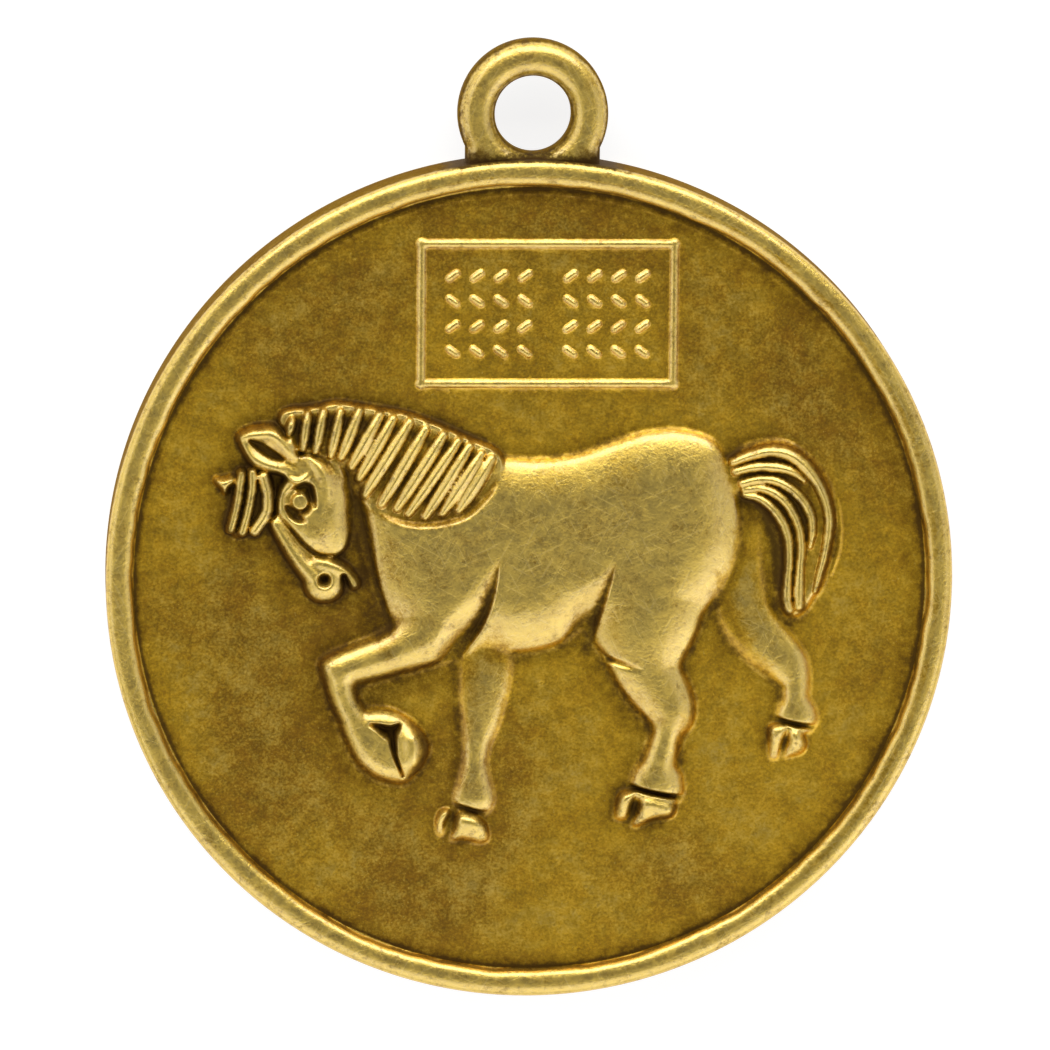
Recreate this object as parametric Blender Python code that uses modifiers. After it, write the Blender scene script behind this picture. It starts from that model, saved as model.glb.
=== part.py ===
"""Round cast charm: a rimmed disc with a horse in relief, a small frame over it and a hanging loop.

The charm lies on its back. Its face looks up +Z, the loop points to +Y, and the horse looks to -X.
Its forms are drawn round the middle of the disc. An empty then places them, so that the origin is the
middle of the whole charm, loop and all, on the surface that it lies on.
"""
import math

import bmesh
import bpy
import numpy

MM = 0.001

# Disc and rim
DISC_DIAMETER = 30.0 * MM
DISC_THICKNESS = 2.5 * MM
RIM_WIDTH = 1.0 * MM
RIM_RISE = 0.45 * MM
RIM_SLOPE = 0.1 * MM
RIM_ROUND = 0.32 * MM
CROWN_SQUARENESS = 2.2
BACK_RIM_WIDTH = 1.2 * MM
BACK_RECESS = 0.3 * MM
BACK_SLOPE = 0.15 * MM

# Hanging loop
LOOP_OUTER_DIAMETER = 5.3 * MM
LOOP_HOLE_DIAMETER = 2.7 * MM
LOOP_THICKNESS = 1.7 * MM
LOOP_ROUND = 0.42 * MM
LOOP_SIDES_FROM_DEG = 63.4
LOOP_HOLE_TO_EDGE = 0.2 * MM

# Horse
HORSE_LENGTH = 22.3 * MM
HORSE_RISE = 0.8 * MM
HORSE_CENTRE_X = -0.085 * MM
HORSE_CENTRE_Y = 0.18 * MM
BROAD_SOFTNESS = 0.08 * MM
FORM_SOFTNESS = 0.035 * MM
CAST_SOFTNESS = 0.024 * MM

# Frame over the horse and the rows of strokes in it
FRAME_WIDTH = 9.23 * MM
FRAME_HEIGHT = 5.29 * MM
FRAME_BAR = 0.34 * MM
FRAME_KNOB = 0.43 * MM
FRAME_RISE = 0.16 * MM
FRAME_CENTRE_X = 0.55 * MM
FRAME_CENTRE_Y = 9.53 * MM
STROKE_ROWS = 4
STROKES_IN_ROW = 4
STROKE_LENGTH = 0.6 * MM
STROKE_WIDTH = 0.3 * MM
STROKE_RISE = 0.14 * MM
STROKE_PITCH_X = 0.85 * MM
STROKE_PITCH_Y = 0.9 * MM
STROKE_LEAN_DEG = 36.0
BLOCK_PITCH = 4.15 * MM

# Fineness of the faceted solid
SAMPLE_PITCH = 0.07 * MM
RELIEF_TRIANGLES = 6600
RIM_SEGMENTS = 84
LOOP_SEGMENTS = 36
ROUND_STEPS = 3
LOOP_ROUND_STEPS = 1

DISC_RADIUS = DISC_DIAMETER / 2
FIELD_LEVEL = DISC_THICKNESS - RIM_RISE
FIELD_RADIUS = DISC_RADIUS - RIM_WIDTH
SLAB_RADIUS = DISC_RADIUS - RIM_WIDTH / 2
LOOP_CENTRE_Y = DISC_RADIUS + LOOP_HOLE_TO_EDGE + LOOP_HOLE_DIAMETER / 2
THOUSANDTH = HORSE_LENGTH / 1000
OVERALL_LENGTH = DISC_RADIUS + LOOP_CENTRE_Y + LOOP_OUTER_DIAMETER / 2


def clear_scene():
    for old in list(bpy.data.objects):
        bpy.data.objects.remove(old, do_unlink=True)


def collection(name):
    made = bpy.data.collections.new(name)
    bpy.context.scene.collection.children.link(made)
    return made


def antique_brass():
    material = bpy.data.materials.new("antique_brass")
    material.use_nodes = True
    shader = material.node_tree.nodes["Principled BSDF"]
    shader.inputs["Base Color"].default_value = (0.36, 0.25, 0.07, 1.0)
    shader.inputs["Metallic"].default_value = 1.0
    shader.inputs["Roughness"].default_value = 0.38
    return material


# Curves and sections


def curve(points, closed=False, steps=6):
    """Smooth curve through chosen points; every column of a point is carried along."""
    points = numpy.array(points, float)
    if closed:
        points = numpy.vstack([points[-2:], points, points[:3]])
    gaps = numpy.sqrt(numpy.hypot(*numpy.diff(points[:, :2], axis=0).T))
    knots = numpy.concatenate([[0.0], numpy.cumsum(gaps)])
    slopes = numpy.gradient(points, knots, axis=0)
    first, last = (2, len(points) - 3) if closed else (0, len(points) - 1)
    line = []
    for k in range(first, last):
        span = knots[k + 1] - knots[k]
        for t in numpy.arange(steps) / steps:
            line.append(
                (2 * t**3 - 3 * t**2 + 1) * points[k]
                + (t**3 - 2 * t**2 + t) * span * slopes[k]
                + (3 * t**2 - 2 * t**3) * points[k + 1]
                + (t**3 - t**2) * span * slopes[k + 1]
            )
    if not closed:
        line.append(points[-1])
    return numpy.array(line)


def domed(inwards, crest):
    """Section of a low dome, 0 at its edge and 1 on top; a high crest number flattens the top."""
    return 1.0 - (1.0 - numpy.clip(inwards, 0.0, 1.0)) ** crest


def softened(z, width):
    """The raster z with its edges softened, as the mould and the metal's flow do."""
    reach = int(math.ceil(3 * width))
    weights = numpy.exp(-0.5 * (numpy.arange(-reach, reach + 1) / width) ** 2)
    weights /= weights.sum()
    for _ in range(2):
        padded = numpy.pad(z, [(reach, reach), (0, 0)], mode="edge")
        z = sum(weight * padded[k:k + len(z)] for k, weight in enumerate(weights)).T
    return z


def ramped(value, low, high):
    """Smooth step from 0 at low to 1 at high."""
    part = numpy.clip((value - low) / (high - low), 0.0, 1.0)
    return part * part * (3.0 - 2.0 * part)


class Relief:
    """Heights over the field, on a square raster of the whole disc.

    The horse is drawn in thousandths of its own length, with heights as shares of its full rise.
    """

    def __init__(self, half_width, pitch):
        count = int(2 * half_width / pitch) + 1
        line = numpy.linspace(-half_width, half_width, count)
        self.half_width = half_width
        self.pitch = line[1] - line[0]
        self.x, self.y = numpy.meshgrid(line, line)
        self.z = numpy.zeros((count, count))
        self.scale(THOUSANDTH, HORSE_RISE, (HORSE_CENTRE_X, HORSE_CENTRE_Y))

    def scale(self, unit, rise, middle=(0.0, 0.0)):
        """Sets what one step across and one step up stand for, and where they are counted from."""
        self.unit = unit
        self.rise = rise
        self.middle = middle

    def real(self, points):
        points = numpy.array(points, float)
        points[:, :3] *= self.unit
        points[:, :2] += self.middle
        points[:, 3:] *= self.rise
        return points

    def window(self, line, reach):
        """The part of the raster round a line."""
        low = (line[:, :2].min(axis=0) - reach + self.half_width) / self.pitch
        high = (line[:, :2].max(axis=0) + reach + self.half_width) / self.pitch
        low = numpy.maximum(numpy.floor(low).astype(int), 0)
        high = numpy.maximum(numpy.ceil(high).astype(int) + 1, 1)
        return slice(low[1], high[1]), slice(low[0], high[0])

    def across(self, points):
        """The window round a bar, how far into the bar each place lies, and the bar's height there."""
        points = self.real(points)
        line = curve(points) if len(points) > 1 else numpy.vstack([points, points])
        place = self.window(line, line[:, 2].max())
        x, y = self.x[place], self.y[place]
        ratio = numpy.full(x.shape, numpy.inf)
        height = numpy.zeros(x.shape)
        for start, end in zip(line[:-1], line[1:]):
            run = end - start
            length2 = max(run[0] ** 2 + run[1] ** 2, 1e-18)
            part = numpy.clip(((x - start[0]) * run[0] + (y - start[1]) * run[1]) / length2, 0.0, 1.0)
            away = numpy.hypot(x - start[0] - part * run[0], y - start[1] - part * run[1])
            here = away / (start[2] + part * run[2])
            closer = here < ratio
            ratio[closer] = here[closer]
            height[closer] = (start[3] + part * run[3])[closer]
        return place, 1.0 - numpy.minimum(ratio, 1.0), height

    def bar(self, points, crest=2.0, wall=0.0):
        """A limb that stands up from the field. A point is x, y, half width, height.

        The wall is the share of its height that rises straight from its foot.
        """
        place, inwards, height = self.across(points)
        section = numpy.where(inwards > 0, wall + (1 - wall) * domed(inwards, crest), 0.0)
        self.z[place] = numpy.maximum(self.z[place], height * section)

    def swell(self, points):
        """A smooth swelling of what is there. A point is x, y, half width, added height."""
        place, inwards, height = self.across(points)
        self.z[place] += height * ramped(inwards, 0.0, 1.0)

    def cut(self, points, floor=0.0):
        """A groove or hollow down to its floor at most. A point is x, y, half width, depth."""
        place, inwards, depth = self.across(points)
        z = self.z[place]
        lowest = numpy.minimum(z, floor * self.rise)
        self.z[place] = numpy.maximum(z - depth * ramped(inwards, 0.0, 1.0), lowest)

    def within(self, outline):
        """The window round an outline, what lies inside it, and how far each place is from it."""
        ring = curve(self.real(outline), closed=True, steps=5)
        place = self.window(ring, 0.0)
        x, y = self.x[place], self.y[place]
        inside = numpy.zeros(x.shape, bool)
        away = numpy.full(x.shape, numpy.inf)
        for start, end in zip(ring, numpy.roll(ring, -1, axis=0)):
            run = end - start
            length2 = max(run[0] ** 2 + run[1] ** 2, 1e-18)
            part = numpy.clip(((x - start[0]) * run[0] + (y - start[1]) * run[1]) / length2, 0.0, 1.0)
            here = numpy.hypot(x - start[0] - part * run[0], y - start[1] - part * run[1])
            away = numpy.minimum(away, here)
            if start[1] != end[1]:
                beside = x < start[0] + (y - start[1]) * run[0] / run[1]
                inside ^= ((start[1] > y) != (end[1] > y)) & beside
        return place, inside, away / self.unit

    def fold(self, points, floor=0.0, wall=0.2):
        """A crease with a long slope on its right, as one walks along it, and a steep wall on its left.

        A point is x, y, width of the slope, depth. The wall is that share of the slope's width.
        """
        points = self.real(points)
        line = curve(points)
        place = self.window(line, line[:, 2].max())
        x, y = self.x[place], self.y[place]
        nearest = numpy.full(x.shape, numpy.inf)
        part_in = numpy.zeros(x.shape)
        depth = numpy.zeros(x.shape)
        for start, end in zip(line[:-1], line[1:]):
            run = end - start
            length2 = max(run[0] ** 2 + run[1] ** 2, 1e-18)
            part = numpy.clip(((x - start[0]) * run[0] + (y - start[1]) * run[1]) / length2, 0.0, 1.0)
            off_x, off_y = x - start[0] - part * run[0], y - start[1] - part * run[1]
            here = numpy.hypot(off_x, off_y)
            on_left = run[0] * off_y - run[1] * off_x > 0
            width = (start[2] + part * run[2]) * numpy.where(on_left, wall, 1.0)
            closer = here < nearest
            nearest[closer] = here[closer]
            part_in[closer] = (1.0 - numpy.minimum(here / width, 1.0))[closer]
            depth[closer] = (start[3] + part * run[3])[closer]
        z = self.z[place]
        lowest = numpy.minimum(z, floor * self.rise)
        self.z[place] = numpy.maximum(z - depth * part_in**2, lowest)

    def form(self, outline, height, edge, crest=2.0, base=0.0, fall=0.0):
        """A broad form inside an outline, from a base height up over its rounded edge.

        The fall is how much lower its bottom is than its top.
        """
        place, inside, away = self.within(outline)
        top = base + (height - base) * domed(away / edge, crest)
        y = self.y[place]
        low, high = min(point[1] for point in outline), max(point[1] for point in outline)
        top = top - fall * (1.0 - ramped((y - self.middle[1]) / self.unit, low, high))
        self.z[place] = numpy.maximum(self.z[place], numpy.where(inside, top * self.rise, 0.0))

    def sink(self, outline, floor, edge):
        """Ground inside an outline, sunk to its floor over a soft edge."""
        place, inside, away = self.within(outline)
        z = self.z[place]
        lower = numpy.minimum(z, floor * self.rise)
        self.z[place] = numpy.where(inside, z + (lower - z) * ramped(away, 0.0, edge), z)

    def soften(self, width):
        self.z = softened(self.z, width / self.pitch)

    def height_at(self, x, y):
        """Height between the raster's places."""
        column = numpy.clip((x + self.half_width) / self.pitch, 0, self.z.shape[1] - 1.001)
        row = numpy.clip((y + self.half_width) / self.pitch, 0, self.z.shape[0] - 1.001)
        i, j = row.astype(int), column.astype(int)
        u, v = row - i, column - j
        low = self.z[i, j] * (1 - v) + self.z[i, j + 1] * v
        high = self.z[i + 1, j] * (1 - v) + self.z[i + 1, j + 1] * v
        return low * (1 - u) + high * u


# The horse, in thousandths of its length from the middle of the field


def evenly(points, half_width, height):
    """Points of a bar of one width and height."""
    return [(x, y, half_width, height) for x, y in points]


def far_legs(relief):
    """The two legs on the far side, low and partly behind the body."""
    hind = [(348, 92, 22, 0.1), (339, 11, 34, 0.22), (346, -60, 42, 0.36), (378, -106, 40, 0.46),
            (412, -140, 33, 0.48), (428, -168, 23, 0.44), (429, -200, 21, 0.44), (431, -227, 32, 0.46)]
    fore = [(-64, -112, 44, 0.2), (-66, -150, 42, 0.22), (-69, -184, 38, 0.25), (-73, -227, 31, 0.28),
            (-79, -271, 21, 0.3), (-82, -304, 19, 0.32), (-83, -332, 25, 0.36), (-83, -358, 32, 0.38)]
    relief.bar(hind, wall=0.45)
    relief.bar(fore, wall=0.2)


def tail_ground(relief):
    """Low ground that the tail's strands stand on."""
    outline = [(320, 181), (337, 202), (359, 211), (383, 216), (410, 213), (435, 198), (457, 177),
               (475, 150), (484, 118), (488, 84), (484, 47), (476, 11), (465, -21), (453, -37), (442, -56),
               (426, -66), (408, -61), (400, -42), (404, -13), (407, 23), (404, 52), (394, 77), (377, 103),
               (356, 123), (334, 135), (323, 155)]
    relief.form(outline, height=0.46, edge=12, base=0.26)


def trunk(relief):
    """Neck, chest, barrel and rump as one broad form, and the near hind leg."""
    outline = [(-362, 211), (-327, 260), (-259, 263), (-172, 240), (-92, 208), (-37, 190), (26, 187),
               (87, 197), (139, 216), (193, 231), (256, 231), (297, 213), (321, 176), (335, 116),
               (335, 52), (313, -13), (272, -73), (244, -121), (193, -143), (133, -135), (104, -106),
               (91, -82), (53, -108), (-13, -123), (-70, -113), (-116, -134), (-172, -137), (-206, -89),
               (-235, -42), (-254, 19), (-273, 84), (-290, 148)]
    relief.form(outline, height=0.94, edge=74, base=0.34)
    near_hind = [(193, 27, 95, 0.9), (190, -53, 88, 0.98), (187, -102, 70, 0.94), (190, -147, 54, 0.84),
                 (209, -182, 48, 0.8), (229, -218, 39, 0.76), (225, -250, 26, 0.68),
                 (218, -282, 26, 0.66), (210, -314, 30, 0.66), (209, -337, 43, 0.66)]
    relief.bar(near_hind, wall=0.42)


def near_foreleg(relief):
    """The raised leg: forearm, bent knee, cannon and the foot folded under it."""
    forearm = [(-124, -40, 74, 0.88), (-159, -92, 50, 0.9), (-206, -120, 36, 0.86), (-256, -138, 32, 0.82),
               (-296, -150, 29, 0.8)]
    cannon = [(-300, -156, 27, 0.82), (-292, -196, 23, 0.76), (-276, -228, 24, 0.72), (-258, -256, 30, 0.7)]
    knee = [(-329, -139), (-318, -130), (-296, -122), (-272, -134), (-268, -160), (-284, -182),
            (-310, -186), (-325, -163)]
    foot = [(-297, -234), (-273, -224), (-238, -214), (-211, -218), (-184, -234), (-164, -255),
            (-156, -272), (-159, -292), (-173, -314), (-195, -334), (-222, -331), (-241, -324),
            (-267, -303), (-286, -269)]
    relief.bar(forearm, wall=0.42)
    relief.bar(cannon, wall=0.42)
    relief.form(knee, height=0.84, edge=26, base=0.4)
    relief.form(foot, height=0.74, edge=30, base=0.34)


def mane(relief):
    """The mane's sunk ground with its parallel locks, which lean back from the crest of the neck."""
    outline = [(-397, 253), (-387, 266), (-348, 271), (-303, 279), (-279, 276), (-235, 269), (-187, 260),
               (-140, 242), (-92, 221), (-51, 202), (-42, 189), (-46, 169), (-50, 147), (-67, 124),
               (-92, 100), (-124, 87), (-172, 82), (-211, 89), (-248, 108), (-271, 127), (-290, 156),
               (-314, 185), (-343, 202), (-365, 202), (-382, 227)]
    locks = [(-373, 250, -368, 224, 9.1), (-357, 234, -360, 202, 10.4), (-341, 256, -352, 208, 10.4),
             (-319, 261, -335, 205, 11.1), (-297, 266, -314, 195, 13), (-270, 266, -298, 189, 13),
             (-238, 261, -279, 176, 11.7), (-214, 253, -270, 156, 13.7), (-189, 242, -262, 132, 13),
             (-165, 235, -235, 116, 13.7), (-135, 227, -210, 113, 13.7), (-113, 218, -192, 102, 12.3),
             (-96, 211, -165, 98, 13), (-77, 197, -138, 105, 11.7), (-62, 190, -111, 108, 14.3)]
    relief.form(outline, height=0.62, edge=12, base=0.36)
    relief.sink(outline, floor=0.62, edge=20)
    for x0, y0, x1, y1, half_width in locks:
        run_x, run_y = x1 - x0, y1 - y0
        inset = 0.55 * half_width / math.hypot(run_x, run_y)
        widths = ((inset, 0.85, 0.92), (0.3, 1.06, 0.98), (0.65, 1.04, 0.96), (1.0 - inset, 0.75, 0.86))
        relief.bar([(x0 + part * run_x - 2, y0 + part * run_y + 2, wide * half_width, height)
                    for part, wide, height in widths], wall=0.82)


def head(relief):
    """Skull, cheek, nose, muzzle, ear and forelock."""
    skull = [(-386, 156), (-397, 134), (-400, 102), (-387, 79), (-368, 52), (-346, 34), (-321, 29),
             (-300, 39), (-290, 68), (-286, 113), (-290, 145), (-305, 164), (-333, 189), (-357, 198),
             (-376, 182)]
    ear = [(-463, 224), (-452, 235), (-428, 242), (-403, 242), (-386, 229), (-371, 208), (-360, 190),
           (-359, 172), (-374, 158), (-393, 164), (-417, 168), (-438, 177), (-449, 193), (-457, 208)]
    forelock = [(-463, 160), (-441, 171), (-422, 166), (-411, 150), (-406, 124), (-411, 100), (-427, 79),
                (-447, 64), (-468, 64), (-476, 81), (-471, 111), (-466, 137)]
    nose = [(-402, 84, 12, 0.74), (-384, 54, 13, 0.78), (-365, 27, 15, 0.82), (-343, 3, 19, 0.84)]
    relief.form(skull, height=0.86, edge=46, base=0.46)
    relief.swell([(-330, 120, 34, 0.06), (-322, 88, 46, 0.14), (-328, 62, 34, 0.08)])
    relief.bar(nose, wall=0.45)
    relief.bar([(-322, -9, 32, 0.92)], wall=0.5)
    relief.bar([(-333, 23, 10, 0.8), (-314, 19, 11, 0.84), (-295, 11, 10, 0.82), (-283, 0, 9, 0.78),
                (-276, -11, 10, 0.74)], wall=0.82)
    relief.form(ear, height=0.74, edge=20, base=0.5)
    relief.form(forelock, height=0.54, edge=12, base=0.36)
    for lock in ([(-450, 166), (-454, 140), (-463, 108), (-470, 77)],
                 [(-430, 164), (-435, 137), (-446, 105), (-457, 71)],
                 [(-419, 152), (-412, 127), (-419, 102), (-436, 80), (-452, 68)]):
        relief.bar(evenly(lock, 11.5, 0.76), wall=0.82)
    relief.bar([(-494, 154, 5, 0.5), (-482, 149, 10, 0.62), (-470, 155, 8, 0.62)], wall=0.4)
    relief.bar([(-482, 149, 10, 0.62), (-480, 134, 4, 0.5)], wall=0.4)


def hooves(relief):
    """Each hoof is a broad half and a sliver, with a cleft between them."""
    near_hind = [(185, -355), (217, -359), (239, -372), (236, -390), (206, -397), (179, -408),
                 (167, -406), (177, -379)]
    near_hind_sliver = [(152, -350), (174, -348), (167, -363), (156, -395), (142, -395), (141, -379)]
    far_hind = [(421, -247), (437, -251), (448, -271), (443, -287), (424, -295), (410, -295), (415, -272)]
    far_hind_sliver = [(389, -242), (412, -243), (407, -271), (399, -298), (388, -297), (386, -271)]
    far_fore = [(-108, -384), (-80, -388), (-62, -403), (-58, -429), (-70, -435), (-99, -429),
                (-121, -429), (-115, -408)]
    far_fore_sliver = [(-135, -380), (-121, -379), (-129, -401), (-130, -424), (-140, -421), (-143, -400)]
    relief.form(near_hind, height=0.76, edge=14, base=0.34, fall=0.36)
    relief.form(near_hind_sliver, height=0.7, edge=14, base=0.34, fall=0.36)
    relief.form(far_hind, height=0.64, edge=14, base=0.34, fall=0.36)
    relief.form(far_hind_sliver, height=0.6, edge=14, base=0.34, fall=0.36)
    relief.form(far_fore, height=0.66, edge=14, base=0.34, fall=0.36)
    relief.form(far_fore_sliver, height=0.54, edge=14, base=0.34, fall=0.36)


def tail_strands(relief):
    """Strands that arch from the dock and hang down."""
    strands = [
        [(324, 184, 9, 0.56), (351, 195, 11, 0.64), (383, 202, 12, 0.68), (410, 198, 13, 0.7),
         (432, 184, 13, 0.7), (450, 164, 12, 0.68), (465, 139, 11, 0.66), (475, 111, 10.5, 0.64),
         (478, 85, 10, 0.62), (475, 55, 9, 0.6), (469, 24, 8, 0.58), (462, -3, 7, 0.54),
         (457, -24, 5, 0.48)],
        [(329, 169, 9, 0.56), (354, 176, 10, 0.64), (386, 177, 11, 0.66), (415, 171, 10, 0.64),
         (437, 155, 6, 0.5)],
        [(339, 150, 8, 0.54), (361, 156, 9, 0.6), (386, 156, 10, 0.64), (408, 147, 10, 0.66),
         (427, 132, 10, 0.66), (442, 113, 10, 0.66), (450, 92, 9, 0.64), (451, 71, 8, 0.6),
         (448, 48, 5, 0.48)],
        [(342, 140, 7, 0.54), (364, 143, 9, 0.6), (386, 137, 10, 0.64), (407, 121, 10, 0.66),
         (421, 100, 10, 0.66), (431, 74, 9, 0.64), (434, 44, 9, 0.62), (432, 8, 9, 0.62),
         (431, -24, 11, 0.64), (432, -47, 10, 0.6)],
        [(343, 131, 7, 0.54), (366, 126, 9, 0.62), (386, 111, 10, 0.68), (402, 90, 10, 0.68),
         (412, 64, 10, 0.66), (415, 34, 9, 0.62), (413, -2, 9, 0.6), (412, -34, 10, 0.6),
         (416, -53, 9, 0.56)],
    ]
    for strand in strands:
        relief.bar([(x, y, 1.12 * half_width, height + 0.04) for x, y, half_width, height in strand], wall=0.8)
    relief.bar([(491, 122, 4, 0.06), (497, 84, 4, 0.09), (495, 42, 4, 0.09), (483, 2, 4, 0.06)])


def body_carving(relief):
    """Creases that part the limbs from the barrel, each with a long slope down to it, and the throat."""
    shoulder = [(-45, 30, 12, 0.02), (-54, -13, 36, 0.22), (-65, -50, 52, 0.4), (-81, -85, 60, 0.54),
                (-99, -111, 58, 0.66), (-113, -134, 46, 0.72), (-121, -155, 30, 0.7)]
    flank = [(139, 24, 12, 0.03), (123, -24, 40, 0.26), (109, -63, 56, 0.42), (98, -98, 56, 0.52),
             (92, -124, 40, 0.5)]
    throat = [(-283, 127, 13, 0.5), (-271, 68, 16, 0.75), (-260, 11, 15, 0.7), (-245, -37, 15, 0.6),
              (-229, -73, 13, 0.6)]
    relief.fold(shoulder, floor=0.1)
    relief.fold(flank, floor=0.1)
    relief.cut([(100, -116, 8, 0.3), (123, -130, 8, 0.4), (153, -140, 7, 0.34), (188, -149, 5, 0.05)],
               floor=0.16)
    relief.cut(throat, floor=0.02)


def foot_carving(relief):
    """The hollow under the folded foot, the cleft of its hoof and the grooves over the other hooves."""
    relief.cut([(-243, -240, 8, 0.3), (-226, -243, 15, 0.6), (-209, -243, 17, 0.7), (-198, -236, 9, 0.4)],
               floor=0.08)
    relief.cut([(-212, -258, 10, 0.6), (-209, -287, 6, 0.5), (-200, -315, 4, 0.4)], floor=0.1)
    relief.swell([(-184, -281, 24, 0.18)])
    for groove in ([(148, -337), (196, -348), (247, -359)],
                   [(393, -231), (431, -240), (467, -247)],
                   [(-111, -372), (-84, -380), (-54, -388)]):
        relief.cut(evenly(groove, 6, 0.5), floor=0.05)


def head_carving(relief):
    """Ear, brow, eye, cheek, nostril and lips."""
    relief.cut([(-441, 219, 4, 0.3), (-428, 211, 8, 0.5), (-414, 202, 9, 0.55), (-400, 194, 7, 0.45),
                (-389, 189, 4, 0.2)], floor=0.34)
    relief.swell([(-452, 226, 10, 0.06), (-430, 229, 14, 0.14), (-408, 230, 15, 0.18), (-393, 220, 15, 0.18),
                  (-380, 204, 14, 0.16), (-366, 188, 12, 0.1)])
    relief.swell([(-450, 214, 9, 0.05), (-443, 199, 12, 0.12), (-431, 187, 14, 0.16), (-414, 180, 14, 0.18),
                  (-396, 175, 14, 0.16), (-378, 168, 13, 0.12), (-360, 166, 11, 0.08)])
    relief.swell([(-357, 192, 14, 0.06), (-343, 184, 17, 0.14), (-330, 172, 18, 0.16), (-320, 156, 17, 0.12),
                  (-314, 138, 14, 0.05)])
    relief.cut([(-363, 122, 29, 0.7)], floor=0.52)
    relief.cut([(-362, 150, 6, 0.14), (-350, 149, 10, 0.34), (-342, 136, 9, 0.3), (-339, 120, 6, 0.16)],
               floor=0.4)
    relief.cut([(-382, 116, 6, 0.14), (-374, 103, 9, 0.3), (-364, 94, 9, 0.3)], floor=0.42)
    eye_x, eye_y, lid_reach = -362, 122, 12.5
    relief.bar([(eye_x, eye_y, 15, 0.76)], crest=9)
    turns = [math.radians(turn) for turn in range(0, 361, 30)]
    lid = [(eye_x + lid_reach * math.cos(turn), eye_y + lid_reach * math.sin(turn)) for turn in turns]
    relief.swell(evenly(lid, 4.0, 0.08))
    relief.cut([(-400, 97, 5, 0.14), (-381, 68, 7, 0.34), (-357, 42, 7, 0.44), (-333, 31, 7, 0.4),
                (-300, 31, 5, 0.2)], floor=0.34)
    relief.swell([(-397, 85, 5, 0.06), (-372, 48, 6, 0.1), (-349, 20, 5, 0.08)])
    relief.cut([(-323, -3, 15, 0.5)], floor=0.36)
    relief.cut([(-292, 2, 7, 0.5), (-288, -12, 8, 0.6), (-287, -28, 7, 0.5)], floor=0.08)


def frame_and_strokes(relief):
    """Thin frame with a knob at each corner, round rows of short leaning strokes."""
    relief.scale(1.0, 1.0)
    half_x = (FRAME_WIDTH - FRAME_BAR) / 2
    half_y = (FRAME_HEIGHT - FRAME_BAR) / 2
    sides = ((-1, -1), (1, -1), (1, 1), (-1, 1))
    corners = [(FRAME_CENTRE_X + x * half_x, FRAME_CENTRE_Y + y * half_y) for x, y in sides]
    for start, end in zip(corners, corners[1:] + corners[:1]):
        relief.bar([(*start, FRAME_BAR / 2, FRAME_RISE), (*end, FRAME_BAR / 2, FRAME_RISE)], crest=3)
        relief.bar([(*start, FRAME_KNOB / 2, FRAME_RISE)], crest=4)
    lean = math.radians(STROKE_LEAN_DEG)
    for block_x in (FRAME_CENTRE_X - BLOCK_PITCH / 2, FRAME_CENTRE_X + BLOCK_PITCH / 2):
        for row in range(STROKE_ROWS):
            y = FRAME_CENTRE_Y + (row - (STROKE_ROWS - 1) / 2) * STROKE_PITCH_Y
            turn = lean if row % 2 else -lean
            reach_x = (STROKE_LENGTH - STROKE_WIDTH) / 2 * math.cos(turn)
            reach_y = (STROKE_LENGTH - STROKE_WIDTH) / 2 * math.sin(turn)
            for column in range(STROKES_IN_ROW):
                x = block_x + (column - (STROKES_IN_ROW - 1) / 2) * STROKE_PITCH_X
                ends = [(x - reach_x, y - reach_y), (x + reach_x, y + reach_y)]
                relief.bar([(*end, STROKE_WIDTH / 2, STROKE_RISE) for end in ends], crest=3)


def carved_relief():
    """All the forms of the face, from the far ones to the near ones."""
    relief = Relief(SLAB_RADIUS, SAMPLE_PITCH)
    for draw in (far_legs, tail_ground, trunk, near_foreleg):
        draw(relief)
    relief.soften(BROAD_SOFTNESS)
    for draw in (mane, head, hooves):
        draw(relief)
    relief.soften(FORM_SOFTNESS)
    for draw in (tail_strands, body_carving, foot_carving, head_carving, frame_and_strokes):
        draw(relief)
    relief.soften(CAST_SOFTNESS)
    return relief


# Solids


def slab_squares():
    """Squares along each side of the slab's grid."""
    return int(2 * SLAB_RADIUS / SAMPLE_PITCH)


def slab_with_relief(relief):
    """The web of the disc: a square grid pressed round, with the relief on its top and a flat back."""
    mesh = bpy.data.meshes.new("charm")
    shape = bmesh.new()
    squares = slab_squares()
    bmesh.ops.create_grid(shape, x_segments=squares, y_segments=squares, size=1.0)
    for vert in shape.verts:
        u, v = vert.co.x, vert.co.y
        vert.co.x = SLAB_RADIUS * u * math.sqrt(1 - v * v / 2)
        vert.co.y = SLAB_RADIUS * v * math.sqrt(1 - u * u / 2)
    places = numpy.array([vert.co[:2] for vert in shape.verts])
    heights = relief.height_at(places[:, 0], places[:, 1])
    for vert, height in zip(shape.verts, heights):
        vert.co.z = FIELD_LEVEL + height
    border = [edge for edge in shape.edges if edge.is_boundary]
    wall = bmesh.ops.extrude_edge_only(shape, edges=border)["geom"]
    for item in wall:
        if isinstance(item, bmesh.types.BMVert):
            item.co.z = BACK_RECESS
    bmesh.ops.contextual_create(shape, geom=[item for item in wall if isinstance(item, bmesh.types.BMEdge)])
    bmesh.ops.recalc_face_normals(shape, faces=shape.faces)
    shape.to_mesh(mesh)
    shape.free()
    return bpy.data.objects.new("charm", mesh)


def crown(inner, outer, top, drop):
    """Rounded top of the rim, from its inner to its outer shoulder."""
    middle = (inner + outer) / 2
    half = (outer - inner) / 2
    points = []
    for k in range(2 * ROUND_STEPS + 1):
        turn = math.pi * (1 - k / (2 * ROUND_STEPS))
        squared = 2 / CROWN_SQUARENESS
        across = math.copysign(abs(math.cos(turn)) ** squared, math.cos(turn))
        points.append((middle + half * across, top - drop + drop * abs(math.sin(turn)) ** squared))
    return points


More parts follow.
